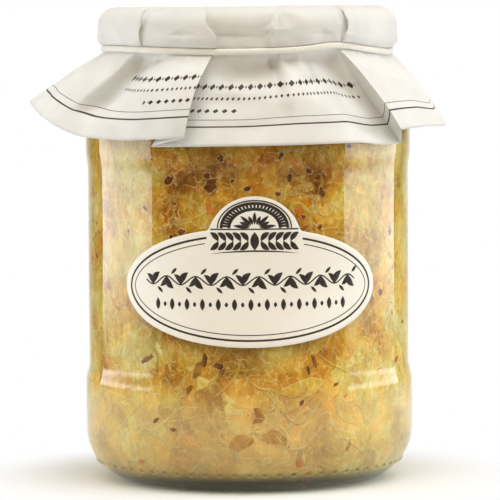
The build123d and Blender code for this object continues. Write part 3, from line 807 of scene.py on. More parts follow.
# The sum of the zigzags, each half a wave's height up and down, times the crumple's depth.
def crumple(around, down):
    total = 0.0
    for way, length, phase in crumpleWaves:
        step = (np.cos(way) * around + np.sin(way) * down) / (length * mm) + phase
        total = total + np.abs(2 * (step - np.floor(step)) - 1) - 0.5
    return total * cover["crumple"]


# The cover's points: rows run from the middle of the top over the rounded edge, down the drum,
# in under the cap to the band, and down the skirt. The skirt's rows are shares of a straight line
# from the band to the hem, bowed by each line's own amount and kept clear of the glass.
def coverGrid():
    c = cover
    band, hem, slope, length, proud, bow, sharp = coverLines.T
    lean = np.radians(slope)
    hemRadius = c["cinch"] + length * mm * np.sin(lean) + proud * mm
    hemPlace = aroundAxis(hemRadius, np.radians(hem), -length * mm * np.cos(lean))
    travel = runningLength(np.concatenate([hemPlace, hemPlace[:1]]))
    hemLength = travel[-1]
    places = travel[:-1] / hemLength
    # columns crowd together where the paper is folded
    fine = np.linspace(0, 1, 4000, endpoint=False)
    roughBand = ringCurve(places, band, sharp, fine, 360)
    tight = np.ones(4000)
    for index in np.flatnonzero(np.diff(hem) < 0):
        middle = (places[index] + places[index + 1]) / 2
        tight += 3.5 * np.exp(-((fine - middle) / 0.024) ** 2)
    for fold in drumFolds:
        tight += 7 * bell(roughBand, (fold[0] + fold[1]) / 2, 1.7)
    weight = np.concatenate([[0], np.cumsum(tight)])
    column = np.interp(np.linspace(0, weight[-1], c["columns"], endpoint=False), weight,
        np.arange(4001) / 4000)
    bandAt = ringCurve(places, band, sharp, column, 360)
    hemAt = ringCurve(places, hem, sharp, column, 360)
    leanAt = np.radians(ringCurve(places, slope, sharp, column))
    lengthAt = ringCurve(places, length, sharp, column) * mm
    proudAt = ringCurve(places, proud, sharp, column) * mm
    bowAt = ringCurve(places, bow, sharp, column) * mm

    bandTop = c["bandLow"] + c["bandWidth"]
    ride = bandRide(bandAt)
    flat = np.ones_like(bandAt)
    rows = []
    for share in np.linspace(0.0, 1.0, c["discRows"] + 1)[1:]:
        rows.append(((c["radius"] - c["round"]) * share * flat,
            (c["top"] - 0.25 * mm * (1 - share ** 2)) * flat))
    for step in np.linspace(0, np.pi / 2, c["roundRows"] + 1)[1:]:
        rows.append(((c["radius"] - c["round"] * (1 - np.sin(step))) * flat,
            (c["top"] - c["round"] * (1 - np.cos(step))) * flat))
    tuckTop = bandTop + c["tuck"]
    for share in np.linspace(0, 1, c["sideRows"] + 1)[1:]:
        height = c["top"] - c["round"] + (tuckTop - c["top"] + c["round"]) * share
        rows.append((c["radius"] * flat, height + ride * share * 0.6))
    tuckStart = len(rows)
    for share in np.linspace(0, 1, c["tuckRows"] + 1)[1:]:
        rows.append((c["radius"] * flat, tuckTop + ride - c["tuck"] * np.sin(share * np.pi / 2)))
    rows.append((c["radius"] * flat, bandTop - c["bandWidth"] / 2 + ride))
    radius, height = (np.array(part) for part in zip(*rows))
    drumRows = len(rows)
    angle = np.broadcast_to(bandAt, radius.shape)

    # the drum's flats lean in by different amounts, and step at each fold with a sharp edge
    sink = np.clip((c["top"] - height) / (c["top"] - tuckTop), 0, 1)
    inDrum = np.clip(radius / (c["radius"] - c["round"]), 0, 1) ** 2
    leanIn = np.zeros_like(radius)
    step = np.zeros_like(radius)
    lap = np.zeros_like(radius)
    for index, (topAt, lowAt, rise, side, reach, topIn, lowIn, laps) in enumerate(drumFolds):
        middle = topAt + (lowAt - topAt) * sink + 1.4 * np.sin(sink * 5 + topAt) * sink * (1 - sink) * 4
        apart = (angle - middle + 180) % 360 - 180
        passed = 0.5 * (1 + np.tanh(apart / c["edge"])) * smoothStep(120, 60, np.abs(apart))
        previous = drumFolds[index - 1]
        change = (topIn - previous[5]) * (1 - sink) + (lowIn - previous[6]) * sink
        # each flat keeps its own lean for about 30 degrees, then shares it with the next
        leanIn += change * passed * smoothStep(75, 20, apart) + change * (passed - 1) * smoothStep(75,
            20, -apart) * (apart < 0)
        # across a fold the paper doubles back a little, so that one layer overlaps the other
        lap -= laps * c["lap"] * apart / c["lapReach"] * np.exp(-(apart / c["lapReach"]) ** 2)
        raised = 0.5 * (1 + np.tanh(apart * side / c["edge"]))
        fade = np.exp(-np.clip(apart * side, 0, None) / reach * 2.2)
        step += rise * (raised * fade - 0.3 * np.exp(-((apart * side + 1.4) / 1.3) ** 2))
    leanIn -= leanIn.min(axis=1, keepdims=True)
    leanIn *= 1.7 / max(leanIn.max(), 1.7)
    crumpled = crumple(np.radians(angle) * c["radius"], c["top"] - height)
    crumpled = crumpled + dents(drumDents, angle, sink)
    lap[tuckStart:] *= np.linspace(1, 0, drumRows - tuckStart)[:, None]
    angle = angle + lap * smoothStep(0.0, 0.25, sink)
    radius = radius + ((0.8 * step - leanIn) * mm + crumpled) * inDrum
    height = height + (0.35 * step * mm * (1 - sink) - 0.3 * leanIn * mm * (1 - sink)) * inDrum
    # the tuck draws in from wherever the drum ends to the band, in small gathers
    pucker = (np.sin(np.radians(bandAt) * 31 + 0.4) + np.sin(np.radians(bandAt) * 47 + 2.0)
              + 0.8 * np.sin(np.radians(bandAt) * 19 + 4.0)) / 2.8
    draw = np.concatenate([1 - np.cos(np.linspace(0, 1, c["tuckRows"] + 1)[1:] * np.pi / 2), [1.0]])[:,
        None]
    foot = np.maximum(radius[tuckStart - 1], c["cinch"] + 0.3 * mm)
    gathers = 0.28 * mm * pucker * np.sin(np.pi * np.sqrt(draw))
    radius[tuckStart:] = foot + (c["cinch"] - foot) * draw + gathers
    height[tuckStart:] += gathers * 0.5

    share = np.linspace(0, 1, c["skirtRows"] + 1)[:, None]
    start = aroundAxis(c["cinch"], np.radians(bandAt), c["bandLow"] + ride)
    outward = c["cinch"] + lengthAt * np.sin(leanAt) + proudAt
    hemHeight = c["bandLow"] + ride * 0.4 - lengthAt * np.cos(leanAt)
    finish = aroundAxis(outward, np.radians(hemAt), hemHeight)
    place = start[None] + (finish - start)[None] * share[..., None]
    skirtAngle = np.degrees(np.arctan2(place[..., 0], -place[..., 1]))
    bowed = (c["swell"] * np.cos(leanAt) ** 2 + bowAt) * np.sin(np.pi * share ** 0.8)
    loft = proudAt * 0.6 * np.sin(share * np.pi)
    skirtRadius = np.hypot(place[..., 0], place[..., 1]) + bowed * np.cos(leanAt) + loft
    skirtHeight = place[..., 2] + bowed * np.sin(leanAt)
    for fromAngle, fromShare, toAngle, toShare, wide, deep in skirtCreases:
        along = np.clip((share - fromShare) / (toShare - fromShare + 1e-6), 0, 1)
        apart = (skirtAngle - (fromAngle + (toAngle - fromAngle) * along) + 180) % 360 - 180
        ratio = np.clip(apart / wide, 0, None)
        low, high = min(fromShare, toShare), max(fromShare, toShare)
        inside = smoothStep(low - 0.1, low, share) * smoothStep(high + 0.02, high - 0.25, share)
        inside = inside * smoothStep(-0.02, 0.1, share)
        skirtRadius = skirtRadius - deep * mm * ratio * np.exp(1 - ratio) * inside
    # in front the paper dives in below the band before it swings out over the glass
    dive = bell(skirtAngle, -2, 13) + 0.5 * bell(skirtAngle, -62, 18) + 0.5 * bell(skirtAngle, 31, 7)
    skirtRadius = skirtRadius - 2.4 * mm * dive * np.sin(np.pi * np.clip(share / 0.42, 0, 1)) ** 1.5
    skirtRadius = skirtRadius + 0.25 * mm * pucker * np.exp(-((share - 0.10) / 0.09) ** 2)
    crumpled = crumple(np.radians(skirtAngle) * c["radius"], share * lengthAt)
    skirtRadius = skirtRadius + 1.3 * crumpled * smoothStep(0.0, 0.3, share) + dents(skirtDents,
        skirtAngle, share)
    near = glassRadius(skirtHeight) + c["clear"]
    # a soft rest on the glass: the larger of the two radii, rounded over half a millimetre
    soft = 0.25 * mm
    skirtRadius = near + soft * np.logaddexp(0, (skirtRadius - near) / soft)

    radius = np.concatenate([radius, skirtRadius])
    angle = np.concatenate([angle, skirtAngle])
    height = np.concatenate([height, skirtHeight])
    points = aroundAxis(radius, np.radians(angle), height)
    hemGap = (1 - share) * lengthAt[None, :] / mm
    drumGap = np.full((drumRows, c["columns"]), 60.0)
    front = np.interp([-47, -30, 3, 37], bandAt, column) * hemLength / (10 * mm)
    return points, column, hemLength, np.concatenate([drumGap, hemGap]), front


# Print near the hem, in centimetres. Lines: distance from the hem and half a width. Rows of
# diamonds: distance from the hem, spacing, half width, half height, shift in spacings, and
# whether it is the short row.
hemLines = [(0.62, 0.022), (0.84, 0.009)]
diamondRows = [(1.86, 0.40, 0.13, 0.105, 0.0, False), (1.86, 0.40, 0.035, 0.06, 0.5, False),
    (1.50, 0.20, 0.055, 0.06, 0.25, False), (1.12, 0.30, 0.10, 0.07, 0.1, True)]


# A mask that is 1 where a value lies within half a width of a middle, fading over a small step.
def maskWithin(tree, value, middle, half, step):
    away = addNode(tree, "Math", {0: value, 1: middle}, operation="SUBTRACT")
    away = addNode(tree, "Math", {0: away}, operation="ABSOLUTE")
    return addNode(tree, "MapRange", {"From Min": half + step, "From Max": half - step, "Value": away})


# Machine-glazed wrapping paper, creased by hand: smooth, off-white and a little warm where light
# comes through it. The map's second coordinate is the distance from the hem and its first goes
# round the hem. A diamond is where the distances along and across, over its half sizes, add up to
# less than 1. The diamonds are in front only.
def glazedPaper(front):
    material, tree = newMaterial("glazedWrappingPaper")
    across = addNode(tree, "SeparateXYZ", {"Vector": addNode(tree, "UVMap", uv_map="coverMap")})
    fromHem = across.node.outputs["Y"]
    place = addNode(tree, "TexCoord", output="Object")
    pulp = addNode(tree, "TexNoise",
        {"Scale": 1 / (0.8 * mm), "Detail": 5.0, "Roughness": 0.65, "Vector": place})
    creases = addNode(tree, "TexNoise",
        {"Scale": 1 / (9 * mm), "Detail": 2.0, "Distortion": 0.6, "Vector": place})
    cloud = addNode(tree, "ValToRGB", {"Fac": creases}, ramp=[(0.3, "#DFE0DE"), (0.7, "#E7E8E7")])
    left, shortLeft, shortRight, right = [float(value) for value in front]
    masks = [maskWithin(tree, fromHem, distance, half, 0.005) for distance, half in hemLines]
    for distance, spacing, wide, tall, shift, short in diamondRows:
        step = addNode(tree, "Math", {0: across, 1: 1 / spacing, 2: shift}, operation="MULTIPLY_ADD")
        step = addNode(tree, "Math", {0: step}, operation="FRACT")
        aside = addNode(tree, "Math", {0: step, 1: 0.5}, operation="SUBTRACT")
        aside = addNode(tree, "Math", {0: aside}, operation="ABSOLUTE")
        aside = addNode(tree, "Math", {0: aside, 1: spacing / wide}, operation="MULTIPLY")
        away = addNode(tree, "Math", {0: fromHem, 1: distance}, operation="SUBTRACT")
        away = addNode(tree, "Math", {0: away}, operation="ABSOLUTE")
        total = addNode(tree, "Math", {0: away, 1: 1 / tall, 2: aside}, operation="MULTIPLY_ADD")
        diamond = addNode(tree, "MapRange", {"From Min": 1.08, "From Max": 0.92, "Value": total})
        start, end = (shortLeft, shortRight) if short else (left, right)
        inRow = maskWithin(tree, across, (start + end) / 2, (end - start) / 2, 0.01)
        masks.append(addNode(tree, "Math", {0: diamond, 1: inRow}, operation="MULTIPLY"))
    ink = masks[0]
    for mask in masks[1:]:
        ink = addNode(tree, "Math", {0: ink, 1: mask}, operation="MAXIMUM")
    colour = addNode(tree, "Mix", {0: ink, 6: cloud, 7: "#3A2C22"}, output=2, data_type="RGBA")
    bump = addNode(tree, "Bump", {"Strength": 0.12, "Distance": 0.05 * mm, "Height": pulp})
    soft = addNode(tree, "Bump",
        {"Strength": 0.3, "Distance": 0.6 * mm, "Height": creases, "Normal": bump})
    skin = addNode(tree, "BsdfPrincipled", {"Roughness": 0.5, "IOR": 1.47, "Specular IOR Level": 0.35,
        "Base Color": colour, "Normal": soft})
    glow = addNode(tree, "BsdfTranslucent", {"Color": "#EFDDB4"})
    mix = addNode(tree, "MixShader", {0: 0.08, 1: skin, 2: glow})
    addNode(tree, "OutputMaterial", {"Surface": mix})
    return material


# The cover's sheet, its map and its thickness. Its flat area is pi over 4 times the square of the
# sheet's width.
def makeCover():
    points, column, hemLength, gap, front = coverGrid()
    middle = (0, 0, cover["top"] - 0.25 * mm)
    piece = makeRing("paper_cover_sheet", points, middle, turnedOver=True)
    # map: distance round the hem and distance up from it, in centimetres
    mesh = piece.data
    wide = hemLength / (10 * mm)
    u = np.concatenate([np.tile(column * wide, len(points)), [0.0]])
    v = np.concatenate([gap.ravel() / 10, [6.0]])
    index = np.empty(len(mesh.loops), np.int32)
    faceStart = np.empty(len(mesh.polygons), np.int32)
    faceSize = np.empty(len(mesh.polygons), np.int32)
    mesh.loops.foreach_get("vertex_index", index)
    mesh.polygons.foreach_get("loop_start", faceStart)
    mesh.polygons.foreach_get("loop_total", faceSize)
    loopU = u[index]
    # the last column's faces close the ring, so their far side takes the full distance
    largest = np.repeat(np.maximum.reduceat(loopU, faceStart), faceSize)
    loopU = np.where(largest - loopU > wide / 2, loopU + wide, loopU)
    layer = mesh.uv_layers.new(name="coverMap")
    layer.data.foreach_set("uv", np.stack([loopU, v[index]], axis=1).astype(np.float32).ravel())
    finishPiece(piece, glazedPaper(front), "paper_cover")
    thicken(piece, "paperThickness", cover["thickness"])
    return piece


makeCover()
print("paper cover done")


# A plain finish for a real material: fine noise picks a colour between two and, where a bump's
# strength and depth are given, raises the grain. The skin holds the shader's other values.
def grainedFinish(name, grainSize, detail, colours, skin, bump=None):
    material, tree = newMaterial(name)
    place = addNode(tree, "TexCoord", output="Object")
    grain = addNode(tree, "TexNoise", {"Scale": 1 / grainSize, "Detail": detail, "Vector": place})
    colour = addNode(tree, "ValToRGB", {"Fac": grain}, ramp=[(0.3, colours[0]), (0.7, colours[1])])
    skin = skin | {"Base Color": colour}
    if bump:
        strength, depth = bump
        relief = {"Strength": strength, "Distance": depth, "Height": grain}
        skin["Normal"] = addNode(tree, "Bump", relief)
    addNode(tree, "OutputMaterial", {"Surface": addNode(tree, "BsdfPrincipled", skin)})
    return material


# An oval section carried round the neck, rising and falling with the band's ride, and rolled a
# little where it twists.
def makeBand():
    steps, sides = 360, 14
    angle = np.linspace(0, turn, steps, endpoint=False)[:, None]
    around = np.linspace(0, turn, sides, endpoint=False)[None, :]
    roll = 0.15 * np.sin(angle * 2 + 0.6)
    halfThick, halfWide = 0.5 * mm, cover["bandWidth"] / 2
    flatX, flatY = halfThick * np.cos(around), halfWide * np.sin(around)
    radius = cover["cinch"] + halfThick + 0.02 * mm
    radius = radius + flatX * np.cos(roll) - flatY * np.sin(roll) * 0.3
    height = cover["bandLow"] + halfWide + bandRide(np.degrees(angle)) + flatY * np.cos(roll)
    # the last ring of points is joined to the first
    side = np.arange(sides)
    following = (side + 1) % sides
    last = (steps - 1) * sides
    closing = np.stack([last + side, last + following, following, side], axis=1)
    faces = np.concatenate([gridFaces(steps, sides, closed=True), closing])
    piece = makePiece("elastic_band_ring", aroundAxis(radius, angle, height).reshape(-1, 3), faces)
    # vulcanised rubber, cut from tube: matt cream with a faint lengthwise grain
    rubber = grainedFinish("vulcanisedRubberBand", 0.6 * mm, 3.0, ("#E2E0D8", "#EAE9E3"),
        {"Roughness": 0.5, "IOR": 1.52}, bump=(0.2, 0.1 * mm))
    return finishPiece(piece, rubber, "elastic_band")


makeBand()


# the cap stays as it is, in tinplate with baked enamel: a smooth satin cream
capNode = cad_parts["cap"]
capNode.data.materials.clear()
capNode.data.materials.append(grainedFinish("enamelledTinplate", 1.5 * mm, 2.0, ("#DDD6C2", "#E6E0CE"),
    {"Roughness": 0.32, "IOR": 1.5, "Coat Weight": 0.3}, bump=(0.06, 0.1 * mm)))


labelSizes = {
    "halfWidth": 41.2 * mm, "halfHeight": 17.7 * mm, "archHalf": 14.2 * mm, "archRise": 9.2 * mm,
    "archShift": 1.2 * mm, "turn": 0.8, "thickness": 0.15 * mm, "fillet": 0.35 * mm,
    "spokes": 420, "rings": 26, "inkThickness": 0.03 * mm,
}
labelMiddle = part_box("label")[0][2] + labelSizes["halfHeight"]
labelTurn = np.radians(labelSizes["turn"])


# Wraps flat label places, a distance round the glass and a height above the oval's middle, onto
# the panel, a lift above the glass.
def ontoPanel(around, up, lift):
    return aroundAxis(panelRadius + lift, around / panelRadius + labelTurn, labelMiddle + up)


# Distance from the oval's middle to the label's edge in each direction: the oval's and the round
# top's distances, joined by a soft maximum that leaves a hollow curve where they meet.
def labelReach(theta, inset=0.0):
    s = labelSizes
    a, b = s["halfWidth"] - inset, s["halfHeight"] - inset
    oval = a * b / np.hypot(b * np.cos(theta), a * np.sin(theta))
    centreUp = s["halfHeight"] + s["archRise"] - s["archHalf"]
    centre = np.array([s["archShift"], centreUp])
    along = centre[0] * np.cos(theta) + centre[1] * np.sin(theta)
    inside = (s["archHalf"] - inset) ** 2 - (centre @ centre) + along ** 2
    arch = np.where((inside > 0) & (np.sin(theta) > 0), along + np.sqrt(np.clip(inside, 0, None)), 0)
    soft = s["fillet"]
    return soft * np.logaddexp(oval / soft, arch / soft)


# Laid label paper, uncoated: warm cream, with fine chain lines about a millimetre apart.
def laidPaper():
    material, tree = newMaterial("laidLabelPaper")
    place = addNode(tree, "TexCoord", output="Object")
    pulp = addNode(tree, "TexNoise", {"Scale": 1 / (0.7 * mm), "Detail": 5.0, "Vector": place})
    broad = addNode(tree, "TexNoise", {"Scale": 1 / (20 * mm), "Detail": 2.0, "Vector": place})
    both = addNode(tree, "Mix", {0: 0.3, 2: broad, 3: pulp})
    colour = addNode(tree, "ValToRGB", {"Fac": both}, ramp=[(0.35, "#EBE8DF"), (0.65, "#F0EEE8")])
    bump = addNode(tree, "Bump", {"Strength": 0.15, "Distance": 0.05 * mm, "Height": pulp})
    skin = addNode(tree, "BsdfPrincipled", {"Roughness": 0.6, "IOR": 1.47, "Specular IOR Level": 0.3,
        "Base Color": colour, "Normal": bump})
    addNode(tree, "OutputMaterial", {"Surface": skin})
    return material


# The label: rings that are even shares of the reach, and one ring behind that closes its edge.
def makeLabel():
    s = labelSizes
    theta = np.linspace(0, turn, s["spokes"], endpoint=False)
    reach = labelReach(theta) * np.linspace(0, 1, s["rings"] + 1)[1:, None]
    around, up = reach * np.cos(theta), reach * np.sin(theta)
    front = ontoPanel(around, up, s["thickness"])
    grid = np.concatenate([front, ontoPanel(around[-1:], up[-1:], 0.02 * mm)])
    piece = makeRing("label_sheet", grid, ontoPanel(0.0, 0.0, s["thickness"]), turnedOver=True)
    return finishPiece(piece, laidPaper(), "label")


makeLabel()


inkLift = labelSizes["thickness"] + labelSizes["inkThickness"]
inkPoints, inkQuads = [], []


# A printed stroke: a ribbon along a flat line, half a width each side of it.
def stroke(line, half):
    line = np.asarray(line)
    way = np.gradient(line, axis=0)
    way /= np.linalg.norm(way, axis=1, keepdims=True) + 1e-12
    aside = np.stack([-way[:, 1], way[:, 0]], axis=1) * np.asarray(half).reshape(-1, 1)
    edges = np.stack([line + aside, line - aside])
    first = sum(len(p) for p in inkPoints)
    inkPoints.append(ontoPanel(edges[..., 0], edges[..., 1], inkLift).reshape(-1, 3))
    inkQuads.append(gridFaces(2, len(line))[:, ::-1] + first)


# A leaf or lens: a stroke from one point to another whose half width is the sine of the way along.
def leaf(start, end, half, bend=0.0, steps=13):
    start, end = np.array(start), np.array(end)
    share = np.linspace(0, 1, steps)[:, None]
    side = np.array([start[1] - end[1], end[0] - start[0]])
    line = start + (end - start) * share + side * bend * np.sin(np.pi * share)
    stroke(line, half * np.sin(np.pi * np.clip(share[:, 0], 0.02, 0.98)) ** 0.8)


# Border lines at an even distance inside the label's oval, open at the top for the round top.
def ovalLine(inset, startX, endX, steps=260):
    s = labelSizes
    a, b = s["halfWidth"], s["halfHeight"]
    theta = np.linspace(0, turn, 2000, endpoint=False)
    place = np.stack([a * np.cos(theta), b * np.sin(theta)], axis=1)
    normal = np.stack([b * np.cos(theta), a * np.sin(theta)], axis=1)
    place = place - inset * normal / np.linalg.norm(normal, axis=1, keepdims=True)
    top = place[:, 1] > 0
    first = np.flatnonzero(top & (place[:, 0] > startX))[-1]
    last = np.flatnonzero(top & (place[:, 0] < endX))[0]
    ring = np.roll(place, -last, axis=0)
    ring = ring[:(first - last) % 2000 + 1]
    travel = runningLength(ring)
    even = np.linspace(0, travel[-1], steps)
    return np.stack([np.interp(even, travel, ring[:, 0]), np.interp(even, travel, ring[:, 1])], axis=1)


# The upper half of an oval: the half sizes times the cosine and sine of evenly spaced angles.
def archLine(centre, halfWide, halfTall, steps=60):
    theta = np.linspace(0, np.pi, steps)
    return centre + np.stack([halfWide * np.cos(theta), halfTall * np.sin(theta)], axis=1)


ornament = {"borderInset": 2.1 * mm, "borderHalf": 0.3 * mm, "innerInset": 3.7 * mm,
    "innerHalf": 0.13 * mm, "gap": (-13.0 * mm, 15.4 * mm), "emblemUp": 17.5 * mm,
    "emblemHalf": 10.9 * mm, "emblemTall": 8.1 * mm, "rowUp": 13.7 * mm, "vineUp": 2.0,
    "lozengesUp": -5.0}


# The border, a banded round top with a fan of leaves, a vine across the middle and a row of
# lozenges below it. They are plain printer's ornaments.
def makePrint():
    o = ornament
    centre = np.array((labelSizes["archShift"], o["emblemUp"]))
    stroke(ovalLine(o["borderInset"], o["gap"][1], o["gap"][0]), o["borderHalf"])
    stroke(ovalLine(o["innerInset"], o["gap"][1] + 0.5 * mm, o["gap"][0] - 0.5 * mm), o["innerHalf"])
    stroke(archLine(centre, o["emblemHalf"], o["emblemTall"]), 0.2 * mm)
    # dark band: two arches with short bars between them
    for size in (0.90, 0.69):
        stroke(archLine(centre, o["emblemHalf"] * size, o["emblemTall"] * size), 0.45 * mm)
    for angle in np.linspace(0.10, np.pi - 0.10, 25):
        way = np.array([np.cos(angle) * o["emblemHalf"], np.sin(angle) * o["emblemTall"]])
        stroke(np.array([centre + way * share for share in (0.70, 0.80, 0.89)]), 0.34 * mm)
    footLine = np.linspace(centre + (-13.1 * mm, -0.3 * mm), centre + (13.1 * mm, -0.3 * mm), 24)
    stroke(footLine, 0.2 * mm)
    for index, angle in enumerate(np.linspace(0.16, np.pi - 0.16, 9)):
        way = np.array([np.cos(angle) * o["emblemHalf"], np.sin(angle) * o["emblemTall"]])
        leaf(centre + way * 0.14, centre + way * (0.58 if index % 2 == 0 else 0.46), 0.55 * mm)
    # name place: a row of paired leaves either side of a lozenge, over a line arched upwards
    row = o["rowUp"]
    for side in (-1, 1):
        for step in range(5):
            x = centre[0] + side * (1.9 + 2.2 * step) * mm
            leaf((x, row), (x + side * 2.4 * mm, row + 2.5 * mm), 0.8 * mm, 0.12 * side)
            leaf((x, row), (x + side * 2.4 * mm, row - 2.5 * mm), 0.8 * mm, -0.12 * side)
    leaf((centre[0], row + 2.6 * mm), (centre[0], row - 2.6 * mm), 1.3 * mm)
    under = np.linspace(-1, 1, 41)
    stroke(np.stack([centre[0] + 12.9 * mm * under, row - 3.7 * mm + 0.8 * mm * (1 - under ** 2)],
        axis=1), 0.24 * mm * (1.05 - under ** 2))
    # vine: a sine stem with leaves on alternate sides
    x = np.linspace(-33, 33, 260)
    waveLength = 9.4
    stem = np.stack([x * mm, (1.25 * np.sin(turn * x / waveLength) + o["vineUp"]) * mm], axis=1)
    stroke(stem, 0.2 * mm)
    for index, at in enumerate(np.arange(-30.55, 31, waveLength / 2)):
        side = 1 if index % 2 == 0 else -1
        y = 1.25 * np.sin(turn * at / waveLength) + o["vineUp"]
        leaf((at * mm, y * mm), ((at + 2.3) * mm, (y + side * 3.6) * mm), 0.95 * mm, 0.14 * side)
        leaf((at * mm, y * mm), ((at - 2.1) * mm, (y + side * 3.0) * mm), 0.75 * mm, -0.14 * side)
        leaf(((at + 1.6) * mm, (y - side * 0.6) * mm), ((at + 3.4) * mm, (y - side * 2.4) * mm),
            0.45 * mm)
    # row of lozenges, small ones between large ones
    for index, at in enumerate(np.arange(-28.8, 28.9, 2.4)):
        tall = 1.7 if index % 2 == 0 else 0.75
        wide = 0.75 if index % 2 == 0 else 0.5
        leaf((at * mm, (o["lozengesUp"] + tall) * mm), (at * mm, (o["lozengesUp"] - tall) * mm),
            wide * mm)
    piece = makePiece("label_print", np.concatenate(inkPoints), np.concatenate(inkQuads))
    # offset printing ink, dark sepia: matt, with a trace of sheen
    ink = grainedFinish("sepiaPrintingInk", 0.5 * mm, 2.0, ("#1C120A", "#281B10"),
        {"Roughness": 0.5, "IOR": 1.5})
    finishPiece(piece, ink)
    thicken(piece, "inkThickness", labelSizes["inkThickness"])
    return piece


makePrint()
print("label done")


studio = {
    "cameraAway": 1.10, "cameraUp": 0.1445, "aimUp": 0.0697, "aimAcross": 0.0005, "frameWide": 0.1532,
    "sensor": 36.0, "roll": -0.35, "floorHalf": 6.0,
    # name, place, the point it faces, size and brightness
    "panels": [
        ("lightPanelLeft", (-0.41, 0.05, 0.11), (0, 0.02, 0.11), (0.43, 0.24), 4.3),
        ("lightPanelRight", (0.41, 0.05, 0.11), (0, 0.02, 0.11), (0.43, 0.24), 4.1),
    ],
    # the same, then its colour and whether reflections show it
    "softBoxes": [
        ("fillLeft", (-0.62, -0.62, 0.30), (0, 0, 0.08), (0.7, 0.7), 0.75, "#FFE4B2", False),
        ("fillRight", (0.62, -0.62, 0.30), (0, 0, 0.08), (0.7, 0.7), 0.75, "#FFE4B2", False),
        ("fillPanelLeft", (-0.405, 0.05, 0.17), (0, 0.02, 0.11), (0.43, 0.16), 3.9, "#F6F9FF", False),
        ("fillPanelRight", (0.405, 0.05, 0.17), (0, 0.02, 0.11), (0.43, 0.16), 3.7, "#F6F9FF", False),
        ("softBoxTop", (0.1, -0.3, 0.95), (0, 0, 0.1), (0.8, 0.6), 5.3, "#FFFFFF", True),
    ],
}


# How much of the white backdrop a ray sees: all of it from the camera or through the glass, and
# in reflections only the part beyond the jar, since the room in front of it is dim.
def backdropShare(tree, beyond):
    path = addNode(tree, "LightPath")
    mirrored = addNode(tree, "Math", {0: path.node.outputs["Is Glossy Ray"], 1: beyond},
        operation="MULTIPLY")
    direct = addNode(tree, "Math",
        {0: path.node.outputs["Is Camera Ray"], 1: path.node.outputs["Is Transmission Ray"]},
        operation="MAXIMUM")
    return addNode(tree, "Math", {0: direct, 1: mirrored}, operation="MAXIMUM")


# A matt pale studio floor that turns to plain white away from the object, so that it meets the
# white behind it without a line.
def studioFloor():
    material, tree = newMaterial("paintedStudioFloor")
    place = addNode(tree, "TexCoord", output="Object")
    away = addNode(tree, "VectorMath", {0: place}, output="Value", operation="LENGTH")
    fade = addNode(tree, "MapRange", {"From Min": 0.046, "From Max": 0.092, "Value": away},
        interpolation_type="SMOOTHSTEP")
    # painted shade: farther than 0.15 m from the object the paint darkens to grey, standing in for the
    # dim room
    dim = addNode(tree, "MapRange", {"From Min": 0.15, "From Max": 0.45, "Value": away})
    paintAndShadeColour = addNode(tree, "Mix", {0: dim, 6: "#EDF0F4", 7: "#8C8C8A"}, output=2, data_type="RGBA")
    along = addNode(tree, "SeparateXYZ", {"Vector": place}, output="Y")
    beyond = addNode(tree, "MapRange", {"From Min": -0.1, "From Max": 0.1, "Value": along})
    # further off, only a strip straight behind the jar is lit
    straight = addNode(tree, "Math", {0: along, 1: away}, operation="DIVIDE")
    strip = addNode(tree, "MapRange", {"From Min": 0.8, "From Max": 1.0, "Value": straight})
    close = addNode(tree, "MapRange", {"From Min": 0.3, "From Max": 0.12, "Value": away})
    lit = addNode(tree, "Math", {0: strip, 1: close}, operation="MAXIMUM")
    beyond = addNode(tree, "Math", {0: beyond, 1: lit}, operation="MULTIPLY")
    seen = backdropShare(tree, beyond)
    white = addNode(tree, "Math", {0: fade, 1: seen}, operation="MULTIPLY")
    paint = addNode(tree, "BsdfPrincipled", {"Roughness": 0.7, "Base Color": paintAndShadeColour})
    glow = addNode(tree, "Emission", {"Color": (1, 1, 1, 1), "Strength": 1.0})
    mix = addNode(tree, "MixShader", {0: white, 1: paint, 2: glow})
    addNode(tree, "OutputMaterial", {"Surface": mix})
    return material


# The floor: one square sheet, level with the ring the jar stands on.
def makeFloor():
    half = studio["floorHalf"]
    points = np.array([[-half, -half, 0], [half, -half, 0], [half, half, 0], [-half, half, 0]])
    floor = makePiece("studio_floor", points, np.array([[0, 1, 2, 3]]))
    floor.data.materials.append(studioFloor())


# Places a lamp or the camera and turns it to face a point.
def aimObject(holder, place, aim):
    holder.location = place
    holder.rotation_euler = (Vector(aim) - Vector(place)).to_track_quat("-Z", "Y").to_euler()


# A soft box: a rectangle of light that faces a point. Its power is pi times its area times its
# brightness, so that brightness is what a mirror would show of it.
def softBox(name, place, aim, size, brightness, colour, mirrored):
    lamp = bpy.data.lights.new(name, "AREA")
    lamp.shape = "RECTANGLE"
    lamp.size, lamp.size_y = size
    lamp.energy = np.pi * size[0] * size[1] * brightness
    lamp.color = toLinear(colour)[:3]
    holder = addObject(name, lamp)
    aimObject(holder, place, aim)
    holder.visible_camera = False
    holder.visible_glossy = mirrored
    return holder


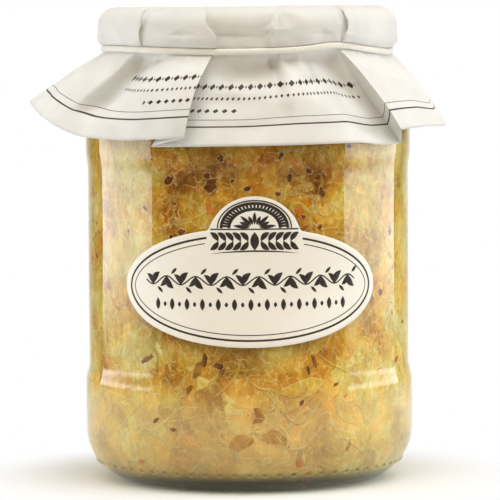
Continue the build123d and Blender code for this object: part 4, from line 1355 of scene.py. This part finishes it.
# A light panel: a glowing fabric sheet that faces a point. It brightens over the first 60 mm from
# its foot and fades between 90 and 140 mm up. Its back is dark and the camera does not see it.
def lightPanel(name, place, aim, size, brightness):
    way = np.array(aim) - np.array(place)
    across = np.array([-way[1], way[0], 0]) / np.hypot(way[0], way[1]) * size[0] / 2
    up = np.array([0, 0, size[1] / 2])
    corners = np.array([-across - up, across - up, across + up, -across + up]) + place
    piece = makePiece(name, corners, np.array([[0, 1, 2, 3]]))
    material, tree = newMaterial(name + "Fabric")
    height = addNode(tree, "SeparateXYZ", {"Vector": addNode(tree, "TexCoord", output="Object")},
        output="Z")
    low = place[2] - size[1] / 2
    strength = addNode(tree, "MapRange",
        {"From Min": low, "From Max": low + 0.06, "To Max": brightness, "Value": height},
        interpolation_type="SMOOTHSTEP")
    fading = addNode(tree, "MapRange", {"From Min": low + 0.09, "From Max": low + 0.14, "To Min": 1.0,
        "To Max": 0.12, "Value": height})
    strength = addNode(tree, "Math", {0: strength, 1: fading}, operation="MULTIPLY")
    back = addNode(tree, "NewGeometry", output="Backfacing")
    front = addNode(tree, "Math", {0: 1.0, 1: back}, operation="SUBTRACT")
    strength = addNode(tree, "Math", {0: strength, 1: front}, operation="MULTIPLY")
    glow = addNode(tree, "Emission", {"Color": "#F6F9FF", "Strength": strength})
    addNode(tree, "OutputMaterial", {"Surface": glow})
    piece.data.materials.append(material)
    piece.visible_camera = False
    return piece


# The room: white straight behind the jar, and dim and warm elsewhere.
def makeWorld():
    world = bpy.data.worlds.new("studioWorld")
    world.use_nodes = True
    tree = world.node_tree
    tree.nodes.clear()
    fillLight = addNode(tree, "Background", {"Color": "#FFEABA", "Strength": 0.28})
    white = addNode(tree, "Background", {"Color": (1, 1, 1, 1), "Strength": 1.0})
    way = addNode(tree, "TexCoord", output="Generated")
    along = addNode(tree, "SeparateXYZ", {"Vector": way}, output="Y")
    beyond = addNode(tree, "MapRange", {"From Min": 0.8, "From Max": 1.0, "Value": along})
    seen = backdropShare(tree, beyond)
    mix = addNode(tree, "MixShader", {0: seen, 1: fillLight, 2: white})
    addNode(tree, "OutputWorld", {"Surface": mix})
    bpy.context.scene.world = world


# The camera: its lens is the sensor's width times the distance over the width of what it frames.
def makeCamera():
    s = studio
    camera = bpy.data.cameras.new("camera")
    holder = addObject("camera", camera)
    place = Vector((s["aimAcross"], -s["cameraAway"], s["cameraUp"]))
    aim = Vector((s["aimAcross"], 0, s["aimUp"]))
    aimObject(holder, place, aim)
    holder.rotation_euler.rotate_axis("Z", np.radians(s["roll"]))
    camera.sensor_width = s["sensor"]
    camera.lens = s["sensor"] * (aim - place).length / s["frameWide"]
    camera.clip_start = 0.05
    camera.clip_end = 50
    bpy.context.scene.camera = holder


makeFloor()
makeWorld()
for panel in studio["panels"]:
    lightPanel(*panel)
for box in studio["softBoxes"]:
    softBox(*box)
makeCamera()
bpy.context.scene.view_settings.view_transform = "Standard"
print("studio done")
